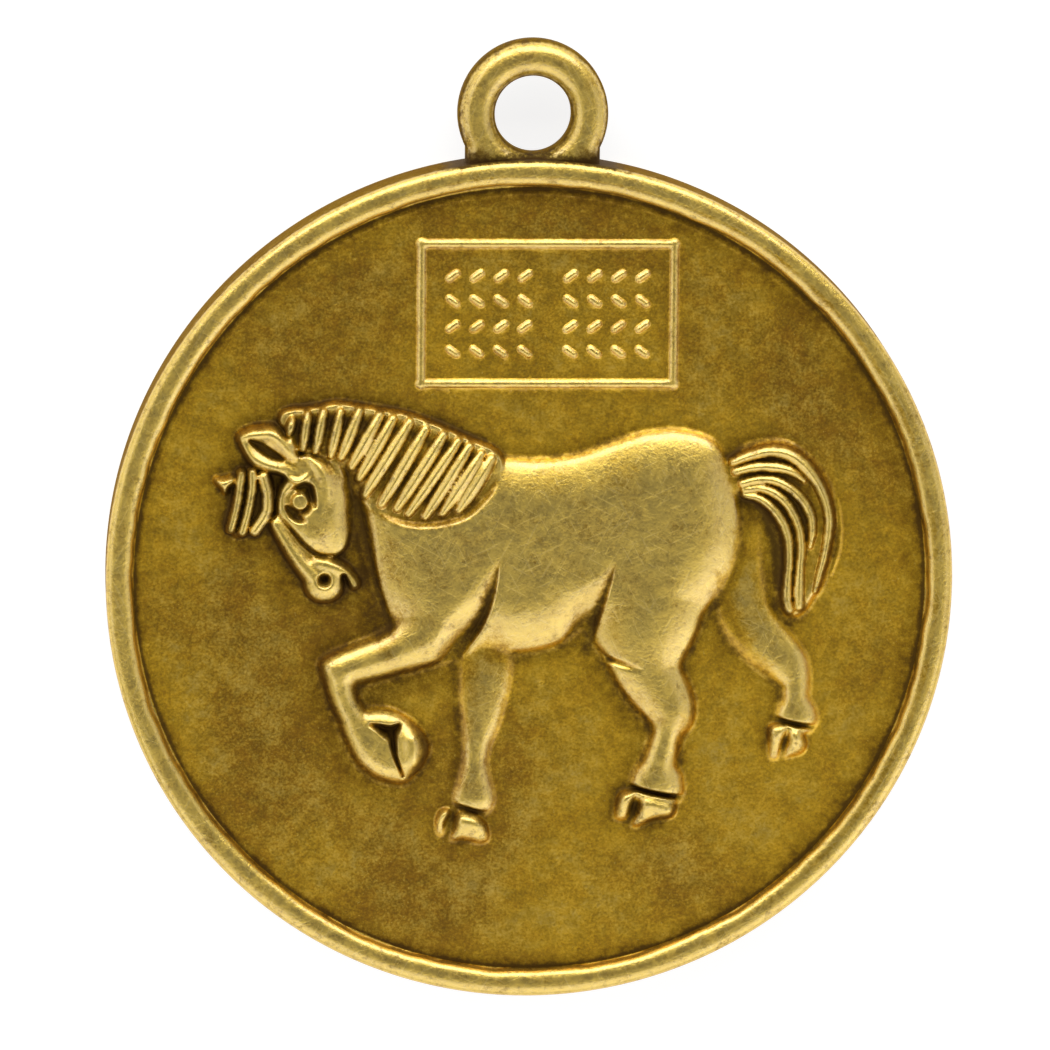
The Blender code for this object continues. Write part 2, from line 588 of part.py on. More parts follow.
def rim_profile():
    """Section of the rim: up its inner wall, over the crown, down the edge and round the flat back land."""
    buried = RIM_RISE / 2
    points = [(FIELD_RADIUS - buried * RIM_SLOPE / RIM_RISE, FIELD_LEVEL - buried)]
    points += crown(FIELD_RADIUS + RIM_SLOPE, DISC_RADIUS, DISC_THICKNESS, RIM_ROUND)
    for k in range(ROUND_STEPS):
        turn = math.pi / 2 * k / (ROUND_STEPS - 1)
        points.append((DISC_RADIUS - RIM_ROUND * (1 - math.cos(turn)), RIM_ROUND * (1 - math.sin(turn))))
    back_foot = DISC_RADIUS - BACK_RIM_WIDTH
    points.append((back_foot, 0.0))
    points.append((back_foot - 2 * BACK_SLOPE, 2 * BACK_RECESS))
    return points


def turned_rim():
    profile = rim_profile()
    mesh = bpy.data.meshes.new("rim")
    links = [(k, (k + 1) % len(profile)) for k in range(len(profile))]
    mesh.from_pydata([(r, 0.0, z) for r, z in profile], links, [])
    rim = bpy.data.objects.new("rim", mesh)
    turn = rim.modifiers.new("turn", "SCREW")
    turn.steps = turn.render_steps = RIM_SEGMENTS
    turn.use_merge_vertices = True
    turn.merge_threshold = 0.01 * MM
    return rim


def loop_outline():
    """Round loop that ends this far round from its lowest point, where its sides run straight down."""
    radius = LOOP_OUTER_DIAMETER / 2
    low = math.radians(LOOP_SIDES_FROM_DEG)
    half_foot = radius * math.sin(low)
    points = []
    for k in range(LOOP_SEGMENTS + 1):
        turn = low - math.pi + (2 * math.pi - 2 * low) * k / LOOP_SEGMENTS
        points.append((-radius * math.sin(turn), LOOP_CENTRE_Y + radius * math.cos(turn)))
    foot_y = DISC_RADIUS - 0.85 * RIM_WIDTH
    return points + [(-half_foot, foot_y), (half_foot, foot_y)]


def hanging_loop():
    """Flat loop with rounded edges and a round hole, cut out of one outline."""
    outline = bpy.data.curves.new("loop", "CURVE")
    outline.dimensions = "2D"
    outline.fill_mode = "BOTH"
    outline.extrude = LOOP_THICKNESS / 2 - LOOP_ROUND
    outline.bevel_depth = LOOP_ROUND
    outline.bevel_resolution = LOOP_ROUND_STEPS
    outline.offset = -LOOP_ROUND
    hole = LOOP_HOLE_DIAMETER / 2
    turns = [2 * math.pi * k / LOOP_SEGMENTS for k in range(LOOP_SEGMENTS)]
    bore = [(hole * math.sin(turn), LOOP_CENTRE_Y + hole * math.cos(turn)) for turn in turns]
    for points in (loop_outline(), bore):
        spline = outline.splines.new("POLY")
        spline.points.add(len(points) - 1)
        for point, (x, y) in zip(spline.points, points):
            point.co = (x, y, 0.0, 1.0)
        spline.use_cyclic_u = True
    drawn = bpy.data.objects.new("loop_outline", outline)
    bpy.context.scene.collection.objects.link(drawn)
    mesh = bpy.data.meshes.new_from_object(drawn.evaluated_get(bpy.context.evaluated_depsgraph_get()))
    bpy.data.objects.remove(drawn)
    shape = bmesh.new()
    shape.from_mesh(mesh)
    bmesh.ops.remove_doubles(shape, verts=shape.verts, dist=0.001 * MM)
    bmesh.ops.translate(shape, verts=shape.verts, vec=(0.0, 0.0, DISC_THICKNESS / 2))
    bmesh.ops.recalc_face_normals(shape, faces=shape.faces)
    shape.to_mesh(mesh)
    shape.free()
    return bpy.data.objects.new("loop", mesh)


def joined(body, others, helpers):
    """Joins each other form to the body, and hides it."""
    for other in others:
        helpers.objects.link(other)
        other.hide_render = True
        other.display_type = "WIRE"
        union = body.modifiers.new("join_" + other.name, "BOOLEAN")
        union.operation = "UNION"
        union.solver = "EXACT"
        union.object = other


def main():
    clear_scene()
    parts = collection("zodiac_charm")
    helpers = collection("zodiac_charm_forms")
    charm = slab_with_relief(carved_relief())
    charm.data.materials.append(antique_brass())
    parts.objects.link(charm)
    thin_out = charm.modifiers.new("thin_out", "DECIMATE")
    thin_out.ratio = RELIEF_TRIANGLES / (2 * slab_squares() ** 2)
    forms = (turned_rim(), hanging_loop())
    joined(charm, forms, helpers)
    place = bpy.data.objects.new("charm_place", None)
    place.location.y = DISC_RADIUS - OVERALL_LENGTH / 2
    parts.objects.link(place)
    for item in (charm, *forms):
        item.parent = place


main()
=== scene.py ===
"""Looks of a round cast charm with a horse in relief: the fine casting, its antique brass and the stage.

Laid out as an add-on. Each operator makes one thing, and the sidebar panel lists them with their sizes.
Lengths are in metres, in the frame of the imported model: the charm lies on its back with its face up, the
hanging loop points to +Y and the horse looks to -X.
"""
import math
from contextlib import contextmanager
from functools import partial

import bmesh
import bpy
import numpy
from bpy.props import FloatProperty, FloatVectorProperty, IntProperty, PointerProperty
from mathutils import Matrix, Vector


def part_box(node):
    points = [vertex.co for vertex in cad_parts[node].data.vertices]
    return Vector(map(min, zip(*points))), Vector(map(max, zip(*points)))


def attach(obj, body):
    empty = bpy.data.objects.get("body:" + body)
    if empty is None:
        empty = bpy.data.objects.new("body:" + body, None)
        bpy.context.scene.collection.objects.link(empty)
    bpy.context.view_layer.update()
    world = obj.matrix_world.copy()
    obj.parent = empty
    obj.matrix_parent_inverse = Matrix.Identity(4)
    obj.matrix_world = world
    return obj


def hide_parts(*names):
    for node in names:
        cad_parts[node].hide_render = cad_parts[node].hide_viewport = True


bl_info = {
    "name": "Zodiac charm",
    "version": (1, 0, 0),
    "blender": (4, 5, 0),
    "location": "View3D > Sidebar > Charm",
    "description": "Casts a round brass charm with a horse in relief and lays it on a stage",
    "category": "Object",
}

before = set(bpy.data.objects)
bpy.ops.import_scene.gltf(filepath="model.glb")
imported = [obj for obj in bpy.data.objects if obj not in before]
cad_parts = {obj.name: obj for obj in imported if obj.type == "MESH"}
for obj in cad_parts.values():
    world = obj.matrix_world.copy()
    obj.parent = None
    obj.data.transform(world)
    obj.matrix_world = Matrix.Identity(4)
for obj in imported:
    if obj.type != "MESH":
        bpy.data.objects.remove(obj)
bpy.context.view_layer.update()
CAD_LOW, CAD_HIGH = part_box("charm")

MM = 0.001
RANDOM_SEED = 7
LEAST_SQUARE = 1e-18
WELD = 0.001 * MM
SMOOTH_UP_TO = math.radians(48)


# Properties


def made(kind, name, description, default, **settings):
    """A property that the panel shows with its name, its unit and a description."""
    return kind(name=name, description=description, default=default, **settings)


length = partial(made, FloatProperty, unit="LENGTH", precision=5)
angle = partial(made, FloatProperty, subtype="ANGLE")
share = partial(made, FloatProperty, min=0.0, max=1.0, subtype="FACTOR")
number = partial(made, FloatProperty, min=0.0)
count = partial(made, IntProperty, min=1)
colour = partial(made, FloatVectorProperty, min=0.0, max=1.0, size=3, subtype="COLOR")


class DiscSizes(bpy.types.PropertyGroup):
    """Disc and rim."""

    diameter: length("Diameter", "Across the rim", CAD_HIGH[0] - CAD_LOW[0])
    thickness: length("Thickness", "From the back land to the rim's crown", 2.5 * MM)
    rim_width: length("Rim width", "Rim's width at its foot", 1.0 * MM)
    rim_rise: length("Rim rise", "Height of the rim over the field", 0.45 * MM)
    rim_slope: length("Rim slope", "How far the rim's inner wall leans", 0.1 * MM)
    rim_round: length("Rim round", "Drop of the crown at its shoulders", 0.32 * MM)
    crown_squareness: number("Crown squareness", "Higher is flatter on top", 2.2)
    back_rim_width: length("Back rim width", "Width of the flat land round the back", 1.2 * MM)
    back_recess: length("Back recess", "Depth of the plain back inside its land", 0.3 * MM)
    back_slope: length("Back slope", "How far the land's inner wall leans", 0.15 * MM)
    wobble: length("Wobble", "How far the rim's edges wander", 0.045 * MM)
    ring_from_foot: length("Ring from foot", "Faint ring on the field, from the rim's foot", 0.19 * MM)
    ring_rise: length("Ring rise", "Height of the faint ring", 0.02 * MM)


class LoopSizes(bpy.types.PropertyGroup):
    """Hanging loop."""

    outer_diameter: length("Outer diameter", "Across the loop", 5.3 * MM)
    hole_diameter: length("Hole diameter", "Hole for a ring or cord", 2.7 * MM)
    thickness: length("Thickness", "Front to back", 1.7 * MM)
    edge_round: length("Edge round", "Rounding of the loop's edges", 0.6 * MM)
    sides_from: angle("Sides from", "Turn from the lowest point where the sides begin", math.radians(63.4))
    hole_to_edge: length("Hole to edge", "Metal between the hole and the disc", 0.2 * MM)


class HorseSizes(bpy.types.PropertyGroup):
    """Horse in relief."""

    length: length("Length", "Forelock to tail", 22.3 * MM)
    rise: length("Rise", "Full height over the field", 0.8 * MM)
    centre_x: length("Centre X", "From the middle of the disc", -0.085 * MM)
    centre_y: length("Centre Y", "From the middle of the disc", 0.18 * MM)
    broad_softness: length("Broad softness", "Softness of the body's edges", 0.08 * MM)
    form_softness: length("Form softness", "Softness of the head, mane and hooves", 0.06 * MM)
    cast_softness: length("Cast softness", "Softness of every carved edge", 0.024 * MM)


class FrameSizes(bpy.types.PropertyGroup):
    """Small frame over the horse and the rows of strokes in it."""

    width: length("Width", "Outer width", 9.23 * MM)
    height: length("Height", "Outer height", 5.29 * MM)
    bar: length("Bar", "Width of its bars", 0.32 * MM)
    knob: length("Knob", "Width of its corners", 0.43 * MM)
    rise: length("Rise", "Height over the field", 0.12 * MM)
    centre_x: length("Centre X", "From the middle of the disc", 0.55 * MM)
    centre_y: length("Centre Y", "From the middle of the disc", 9.53 * MM)
    stroke_rows: count("Rows", "Rows of strokes", 4)
    strokes_in_row: count("Strokes", "Strokes in a row of one block", 4)
    stroke_length: length("Stroke length", "Length of one stroke", 0.6 * MM)
    stroke_width: length("Stroke width", "Width of one stroke", 0.27 * MM)
    stroke_rise: length("Stroke rise", "Height over the field", 0.12 * MM)
    stroke_pitch_x: length("Stroke pitch", "From one stroke to the next", 0.85 * MM)
    stroke_pitch_y: length("Row pitch", "From one row to the next", 0.9 * MM)
    stroke_lean: angle("Stroke lean", "Lean, turned about in every other row", math.radians(36))
    block_pitch: length("Block pitch", "Between the middles of the two blocks", 4.15 * MM)


class Fineness(bpy.types.PropertyGroup):
    """How fine the mesh is."""

    sample_pitch: length("Sample pitch", "Spacing of the relief's samples", 0.04 * MM)
    relief_triangles: count("Relief triangles", "Kept on the relief", 135000)
    rim_segments: count("Rim segments", "Round the rim", 420)
    rim_steps: count("Rim steps", "Over each half of the crown", 9)
    loop_segments: count("Loop segments", "Round the loop", 96)
    loop_steps: count("Loop steps", "Over the loop's rounded edge", 4)


class BrassFinish(bpy.types.PropertyGroup):
    """Antique brass: rubbed bright on top, brown in the hollows, with painted shade beside the forms and on
    their walls.
    """

    rubbed: colour("Rubbed brass", "Colour of the tops and edges", (0.83, 0.575, 0.085))
    field: colour("Field brass", "Colour of the flat field", (0.79, 0.47, 0.014))
    tarnish: colour("Tarnish", "Darker blotches on the field", (0.34, 0.165, 0.004))
    # Painted shade in part: the steep walls' brown stands for oxide and for the shade that the walls lie in.
    wall: colour("Walls", "Dull brown on the steep walls", (0.13, 0.066, 0.016))
    glancing: colour("Glancing tint", "Tint of the metal seen at a low angle", (0.8, 0.6, 0.34))
    # Painted shade in part: this brown is patina in the hollows, and also shade painted beside and under the
    # forms and in the crevice by the loop.
    stain_and_shade: colour("Stain", "Brown in the hollows", (0.05, 0.024, 0.005))
    fresh: colour("Fresh brass", "Colour in the hairline scratches", (0.95, 0.7, 0.18))
    rubbed_roughness: share("Rubbed roughness", "Roughness of the tops", 0.38)
    field_roughness: share("Field roughness", "Roughness of the field", 0.42)
    stain_and_shade_roughness: share("Stain roughness", "Roughness of the stain", 0.6)
    lacquer: share("Lacquer", "How much of a clear lacquer lies over the brass", 0.85)
    lacquer_roughness: share("Lacquer roughness", "Roughness of the lacquer", 0.24)
    lacquer_ior: number("Lacquer index", "Refraction of the lacquer", 2.0)
    mottle_size: length("Mottle size", "Size of the blotches on the field", 1.3 * MM)
    grain_size: length("Grain size", "Size of the fine grain", 0.09 * MM)
    scratch_width: length("Scratch width", "Width of the hairline scratches", 0.03 * MM)


class StageLook(bpy.types.PropertyGroup):
    """Floor, lights and camera."""

    floor: colour("Floor", "Colour of the floor", (0.3, 0.3, 0.3))
    floor_glow: share("Floor glow", "Light that comes up through the pale floor", 0.84)
    camera_distance: length("Camera distance", "From the charm's face", 320 * MM)
    view_width: length("View width", "Width of the picture at the charm's face", 37.08 * MM)
    aim_x: length("Aim X", "Middle of the picture, from the middle of the disc", -0.21 * MM)
    aim_y: length("Aim Y", "Middle of the picture, from the middle of the disc", 2.06 * MM)
    tilt: angle("Tilt", "Camera's lean from straight above", math.radians(10.0))
    tilt_towards: angle("Tilt towards", "Side that the camera leans to, from +X", math.radians(108.0))
    roll: angle("Roll", "Turn of the camera about its view", math.radians(-0.5))
    room: number("Room light", "Strength of the dim room", 0.19)
    key: number("Key light", "Brightness of the box over the loop", 3.3)
    bounce: number("Bounce light", "Brightness of the low box", 1.1)
    side: number("Side lights", "Brightness of the boxes at the sides", 1.1)


# Curves and sections


def curve(points, closed=False, steps=6):
    """Smooth curve through chosen points; every column of a point is carried along."""
    points = numpy.array(points, float)
    if closed:
        points = numpy.vstack([points[-2:], points, points[:3]])
    gaps = numpy.sqrt(numpy.hypot(*numpy.diff(points[:, :2], axis=0).T))
    knots = numpy.concatenate([[0.0], numpy.cumsum(gaps)])
    slopes = numpy.gradient(points, knots, axis=0)
    first, last = (2, len(points) - 3) if closed else (0, len(points) - 1)
    line = []
    for k in range(first, last):
        span = knots[k + 1] - knots[k]
        for t in numpy.arange(steps) / steps:
            line.append(
                (2 * t**3 - 3 * t**2 + 1) * points[k]
                + (t**3 - 2 * t**2 + t) * span * slopes[k]
                + (3 * t**2 - 2 * t**3) * points[k + 1]
                + (t**3 - t**2) * span * slopes[k + 1]
            )
    if not closed:
        line.append(points[-1])
    return numpy.array(line)


def domed(inwards, crest):
    """Section of a low dome, 0 at its edge and 1 on top; a high crest number flattens the top."""
    return 1.0 - (1.0 - numpy.clip(inwards, 0.0, 1.0)) ** crest


def softened(z, width):
    """The raster z with its edges softened, as the mould and the metal's flow do."""
    reach = int(math.ceil(3 * width))
    weights = numpy.exp(-0.5 * (numpy.arange(-reach, reach + 1) / width) ** 2)
    weights /= weights.sum()
    for _ in range(2):
        padded = numpy.pad(z, [(reach, reach), (0, 0)], mode="edge")
        z = sum(weight * padded[k:k + len(z)] for k, weight in enumerate(weights)).T
    return z


def ramped(value, low, high):
    """Smooth step from 0 at low to 1 at high."""
    part = numpy.clip((value - low) / (high - low), 0.0, 1.0)
    return part * part * (3.0 - 2.0 * part)


def to_segment(x, y, start, run):
    """How far along a segment, from 0 to 1, the point nearest to each place is, and the step from it."""
    squared = max(run[0] ** 2 + run[1] ** 2, LEAST_SQUARE)
    part = numpy.clip(((x - start[0]) * run[0] + (y - start[1]) * run[1]) / squared, 0.0, 1.0)
    return part, x - start[0] - part * run[0], y - start[1] - part * run[1]


class Relief:
    """Heights over the field, and the old dirt and painted shade on them, on square rasters of the whole
    disc.

    The horse is drawn in thousandths of its own length, with heights as shares of its full rise.
    Dirt and painted shade count from 1 where they are thick to -1 where the metal was rubbed clean of them.
    """

    def __init__(self, half_width, pitch, horse):
        count = int(2 * half_width / pitch) + 1
        line = numpy.linspace(-half_width, half_width, count)
        self.half_width = half_width
        self.pitch = line[1] - line[0]
        self.x, self.y = numpy.meshgrid(line, line)
        self.z = numpy.zeros((count, count))
        self.dirt_and_shade = numpy.zeros((count, count))
        self.scale(horse.length / 1000, horse.rise, (horse.centre_x, horse.centre_y))

    def scale(self, unit, rise, middle=(0.0, 0.0)):
        """Sets what one step across and one step up stand for, and where they are counted from."""
        self.unit = unit
        self.rise = rise
        self.middle = middle

    def real(self, points):
        """Chosen points in metres."""
        points = numpy.array(points, float)
        points[:, :3] *= self.unit
        points[:, :2] += self.middle
        points[:, 3:] *= self.rise
        return points

    def window(self, line, reach):
        """The part of the raster round a line."""
        low = (line[:, :2].min(axis=0) - reach + self.half_width) / self.pitch
        high = (line[:, :2].max(axis=0) + reach + self.half_width) / self.pitch
        low = numpy.maximum(numpy.floor(low).astype(int), 0)
        high = numpy.maximum(numpy.ceil(high).astype(int) + 1, 1)
        return slice(low[1], high[1]), slice(low[0], high[0])

    def across(self, points):
        """The window round a bar, how far into the bar each place lies, and the bar's height there."""
        points = self.real(points)
        line = curve(points) if len(points) > 1 else numpy.vstack([points, points])
        place = self.window(line, line[:, 2].max())
        x, y = self.x[place], self.y[place]
        ratio = numpy.full(x.shape, numpy.inf)
        height = numpy.zeros(x.shape)
        for start, end in zip(line[:-1], line[1:]):
            run = end - start
            part, off_x, off_y = to_segment(x, y, start, run)
            here = numpy.hypot(off_x, off_y) / (start[2] + part * run[2])
            closer = here < ratio
            ratio[closer] = here[closer]
            height[closer] = (start[3] + part * run[3])[closer]
        return place, 1.0 - numpy.minimum(ratio, 1.0), height

    def bar(self, points, crest=2.0, wall=0.0):
        """A limb that stands up from the field. A point is x, y, half width, height.

        The wall is the share of its height that rises straight from its foot.
        """
        place, inwards, height = self.across(points)
        section = numpy.where(inwards > 0, wall + (1 - wall) * domed(inwards, crest), 0.0)
        self.z[place] = numpy.maximum(self.z[place], height * section)

    def swell(self, points):
        """A smooth swelling of what is there. A point is x, y, half width, added height."""
        place, inwards, height = self.across(points)
        self.z[place] += height * ramped(inwards, 0.0, 1.0)

    def ridge(self, points, slope=0.64):
        """A limb with a sharp ridge, whose sides have one slope that catches the light."""
        half_width, height = max(point[2:] for point in points)
        self.bar(points, crest=1.0, wall=1.0 - slope * half_width * self.unit / (height * self.rise))

    def polish(self, points):
        """Metal rubbed clean along a line. A point is x, y, half width, share of polish."""
        place, inwards, polish = self.across(points)
        self.dirt_and_shade[place] -= (self.dirt_and_shade[place] + polish / self.rise) * ramped(inwards, 0.0, 0.6)

    def soil_and_shade(self, points):
        """Dark brown laid along a line: old dirt round the frame and strokes, and dirt with painted shade
        beside the horse's forms. A point is x, y, half width, share of it.
        """
        place, inwards, dirt_and_shade = self.across(points)
        self.dirt_and_shade[place] = numpy.maximum(self.dirt_and_shade[place], dirt_and_shade / self.rise * ramped(inwards, 0.0, 0.9))

    def lower(self, place, depth, floor):
        """Takes a depth off what is there, down to a floor at most."""
        z = self.z[place]
        lowest = numpy.minimum(z, floor * self.rise)
        self.z[place] = numpy.maximum(z - depth, lowest)

    def cut(self, points, floor=0.0):
        """A groove or hollow down to its floor at most. A point is x, y, half width, depth."""
        place, inwards, depth = self.across(points)
        self.lower(place, depth * ramped(inwards, 0.0, 1.0), floor)

    def within(self, outline):
        """The window round an outline, what lies inside it, and how far each place is from it."""
        ring = curve(self.real(outline), closed=True, steps=5)
        place = self.window(ring, 0.0)
        x, y = self.x[place], self.y[place]
        inside = numpy.zeros(x.shape, bool)
        away = numpy.full(x.shape, numpy.inf)
        for start, end in zip(ring, numpy.roll(ring, -1, axis=0)):
            run = end - start
            away = numpy.minimum(away, numpy.hypot(*to_segment(x, y, start, run)[1:]))
            if start[1] != end[1]:
                beside = x < start[0] + (y - start[1]) * run[0] / run[1]
                inside ^= ((start[1] > y) != (end[1] > y)) & beside
        return place, inside, away / self.unit

    def fold(self, points, floor=0.0, wall=0.2):
        """A crease with a long slope on its right, as one walks along it, and a steep wall on its left.

        A point is x, y, width of the slope, depth. The wall is that share of the slope's width.
        """
        points = self.real(points)
        line = curve(points)
        place = self.window(line, line[:, 2].max())
        x, y = self.x[place], self.y[place]
        nearest = numpy.full(x.shape, numpy.inf)
        part_in = numpy.zeros(x.shape)
        depth = numpy.zeros(x.shape)
        for start, end in zip(line[:-1], line[1:]):
            run = end - start
            part, off_x, off_y = to_segment(x, y, start, run)
            here = numpy.hypot(off_x, off_y)
            on_left = run[0] * off_y - run[1] * off_x > 0
            width = (start[2] + part * run[2]) * numpy.where(on_left, wall, 1.0)
            closer = here < nearest
            nearest[closer] = here[closer]
            part_in[closer] = (1.0 - numpy.minimum(here / width, 1.0))[closer]
            depth[closer] = (start[3] + part * run[3])[closer]
        self.lower(place, depth * part_in**2, floor)

    def form(self, outline, height, edge, crest=2.0, base=0.0, fall=0.0):
        """A broad form inside an outline, from a base height up over its rounded edge.

        The fall is how much lower its bottom is than its top.
        """
        place, inside, away = self.within(outline)
        top = base + (height - base) * domed(away / edge, crest)
        y = self.y[place]
        low, high = min(point[1] for point in outline), max(point[1] for point in outline)
        top = top - fall * (1.0 - ramped((y - self.middle[1]) / self.unit, low, high))
        self.z[place] = numpy.maximum(self.z[place], numpy.where(inside, top * self.rise, 0.0))

    def sink(self, outline, floor, edge):
        """Ground inside an outline, sunk to its floor over a soft edge."""
        place, inside, away = self.within(outline)
        z = self.z[place]
        lower = numpy.minimum(z, floor * self.rise)
        self.z[place] = numpy.where(inside, z + (lower - z) * ramped(away, 0.0, edge), z)

    def soften(self, width):
        self.z = softened(self.z, width / self.pitch)

    def read(self, values, x, y):
        """A raster's values between its places."""
        column = numpy.clip((x + self.half_width) / self.pitch, 0, values.shape[1] - 1.001)
        row = numpy.clip((y + self.half_width) / self.pitch, 0, values.shape[0] - 1.001)
        i, j = row.astype(int), column.astype(int)
        u, v = row - i, column - j
        low = values[i, j] * (1 - v) + values[i, j + 1] * v
        high = values[i + 1, j] * (1 - v) + values[i + 1, j + 1] * v
        return low * (1 - u) + high * u


# The horse, in thousandths of its length from its own middle


LIMB_WALL = 0.42
CREASE_FLOOR = 0.1


def evenly(points, half_width, height):
    """Points of a bar of one width and height."""
    return [(x, y, half_width, height) for x, y in points]


def far_legs(relief):
    """The two legs on the far side, low and partly behind the body."""
    hind = [(348, 92, 22, 0.1), (339, 11, 34, 0.22), (346, -60, 42, 0.36), (378, -106, 40, 0.46),
            (412, -140, 33, 0.48), (428, -168, 23, 0.44), (429, -200, 21, 0.44), (431, -227, 32, 0.46)]
    fore = [(-64, -112, 44, 0.28), (-66, -150, 42, 0.3), (-69, -184, 38, 0.32), (-73, -227, 31, 0.34),
            (-79, -271, 21, 0.35), (-82, -304, 19, 0.36), (-83, -332, 25, 0.4), (-83, -358, 32, 0.42)]
    relief.bar(hind, wall=0.45)
    relief.bar(fore, wall=LIMB_WALL)


def tail_ground(relief):
    """Low ground that the tail's strands stand on."""
    outline = [(320, 181), (337, 202), (359, 211), (383, 216), (410, 213), (435, 198), (457, 177),
               (475, 150), (484, 118), (488, 84), (484, 47), (476, 11), (465, -21), (453, -37), (442, -56),
               (426, -66), (408, -61), (400, -42), (404, -13), (407, 23), (404, 52), (394, 77), (377, 103),
               (356, 123), (334, 135), (323, 155)]
    relief.form(outline, height=0.34, edge=12, base=0.4)


def trunk(relief):
    """Neck, chest, barrel and rump as one broad form, and the near hind leg."""
    outline = [(-362, 211), (-327, 260), (-259, 263), (-172, 240), (-92, 208), (-37, 190), (26, 187),
               (87, 197), (139, 216), (193, 231), (256, 231), (297, 213), (321, 176), (335, 116),
               (335, 52), (313, -13), (272, -73), (244, -121), (193, -143), (133, -135), (104, -106),
               (91, -82), (53, -108), (-13, -123), (-70, -113), (-116, -134), (-172, -137), (-206, -89),
               (-235, -42), (-254, 19), (-273, 84), (-290, 148)]
    relief.form(outline, height=0.94, edge=88, base=0.26)
    near_hind = [(193, 27, 95, 0.9), (190, -53, 88, 0.98), (187, -102, 70, 0.94), (190, -147, 54, 0.84),
                 (209, -182, 48, 0.8), (229, -218, 39, 0.76), (225, -250, 26, 0.68),
                 (218, -282, 26, 0.66), (210, -314, 30, 0.66), (209, -337, 43, 0.66)]
    relief.bar(near_hind, wall=LIMB_WALL)


def near_foreleg(relief):
    """The raised leg: forearm, bent knee, cannon and the foot folded under it."""
    forearm = [(-124, -40, 74, 0.88), (-159, -92, 50, 0.9), (-206, -120, 36, 0.86), (-256, -138, 32, 0.82),
               (-296, -150, 29, 0.8)]
    cannon = [(-300, -156, 27, 0.82), (-292, -196, 23, 0.76), (-276, -228, 24, 0.72), (-258, -256, 30, 0.7)]
    knee = [(-329, -139), (-318, -130), (-296, -122), (-272, -134), (-268, -160), (-284, -182),
            (-310, -186), (-325, -163)]
    foot = [(-297, -234), (-273, -224), (-238, -214), (-211, -218), (-184, -234), (-164, -255),
            (-156, -272), (-159, -292), (-173, -314), (-195, -334), (-222, -331), (-241, -324),
            (-267, -303), (-286, -269)]
    relief.bar(forearm, wall=LIMB_WALL)
    relief.bar(cannon, wall=LIMB_WALL)
    relief.form(knee, height=0.84, edge=26, base=0.4)
    relief.form(foot, height=0.74, edge=30, base=0.34)


def mane_ground(relief):
    """Sunk ground that the mane's locks stand on."""
    outline = [(-397, 253), (-387, 266), (-348, 271), (-303, 279), (-279, 276), (-235, 269), (-187, 260),
               (-140, 242), (-92, 221), (-51, 202), (-42, 189), (-46, 169), (-50, 147), (-67, 124),
               (-92, 100), (-124, 87), (-172, 82), (-211, 89), (-248, 108), (-271, 127), (-290, 156),
               (-314, 185), (-343, 202), (-365, 202), (-382, 227)]
    relief.form(outline, height=0.5, edge=8, base=0.78)
    relief.sink(outline, floor=0.64, edge=6)


def mane_locks(relief):
    """The mane's parallel locks, which lean back from the crest of the neck."""
    locks = [(-375, 254, -380, 231, 7), (-351, 262, -358, 206, 8), (-326, 266, -338, 202, 8.5),
             (-299, 266, -314, 195, 8.5), (-269, 268, -298, 192, 9.5), (-237, 260, -283, 176, 10),
             (-216, 254, -270, 158, 10), (-190, 248, -262, 131, 10.5), (-165, 237, -235, 116, 10.5),
             (-136, 228, -210, 110, 10.5), (-113, 218, -192, 101, 9.5), (-95, 210, -165, 96, 10),
             (-76, 198, -138, 102, 10), (-60, 190, -111, 108, 11)]
    swelling = ((0.0, 0.74, 0.8), (0.22, 0.98, 0.96), (0.72, 0.98, 1.0), (0.98, 0.7, 0.88))
    for x0, y0, x1, y1, half_width in locks:
        run_x, run_y = x1 - x0, y1 - y0
        relief.ridge([(x0 + part * run_x, y0 + part * run_y, wide * half_width, height)
                      for part, wide, height in swelling])


def head(relief):
    """Skull, cheek, nose, muzzle, ear and forelock."""
    skull = [(-386, 156), (-397, 134), (-400, 102), (-387, 79), (-368, 56), (-346, 38), (-321, 31),
             (-296, 37), (-279, 66), (-271, 113), (-276, 146), (-294, 170), (-333, 189), (-357, 198),
             (-376, 182)]
    ear = [(-463, 224), (-452, 235), (-428, 242), (-403, 242), (-386, 229), (-371, 208), (-360, 190),
           (-359, 172), (-374, 158), (-393, 164), (-417, 168), (-438, 177), (-449, 193), (-457, 208)]
    forelock = [(-463, 160), (-441, 171), (-422, 166), (-411, 150), (-406, 124), (-411, 100), (-427, 79),
                (-447, 64), (-468, 64), (-476, 81), (-471, 111), (-466, 137)]
    bridge = [(-388, 86, 10, 0.44), (-370, 58, 14, 0.5), (-348, 34, 16, 0.54), (-324, 20, 14, 0.54)]
    nose = [(-400, 86, 13, 0.66), (-382, 56, 15, 0.74), (-363, 28, 17, 0.8), (-341, 3, 20, 0.84)]
    muzzle = (-323, -9, 34, 0.9)
    lip = [(-333, 23, 10, 0.8), (-314, 19, 11, 0.84), (-295, 11, 10, 0.82), (-283, 0, 9, 0.78),
           (-276, -11, 10, 0.74)]
    relief.form(skull, height=0.66, edge=24, base=0.5)
    relief.swell([(-334, 168, 40, 0.12), (-336, 130, 52, 0.2), (-338, 92, 56, 0.28), (-340, 70, 42, 0.26)])
    relief.bar(bridge, wall=0.9)
    relief.bar(nose, wall=0.45)
    relief.bar([muzzle], wall=0.5)
    relief.bar(lip, wall=0.82)
    relief.form(ear, height=0.6, edge=20, base=0.5)
    relief.form(forelock, height=0.3, edge=14, base=0.34)
    for wisp in ([(-494, 154, 5, 0.5), (-482, 149, 10, 0.62), (-470, 155, 8, 0.62)],
                 [(-482, 149, 10, 0.62), (-480, 134, 4, 0.5)]):
        relief.bar(wisp, wall=0.4)


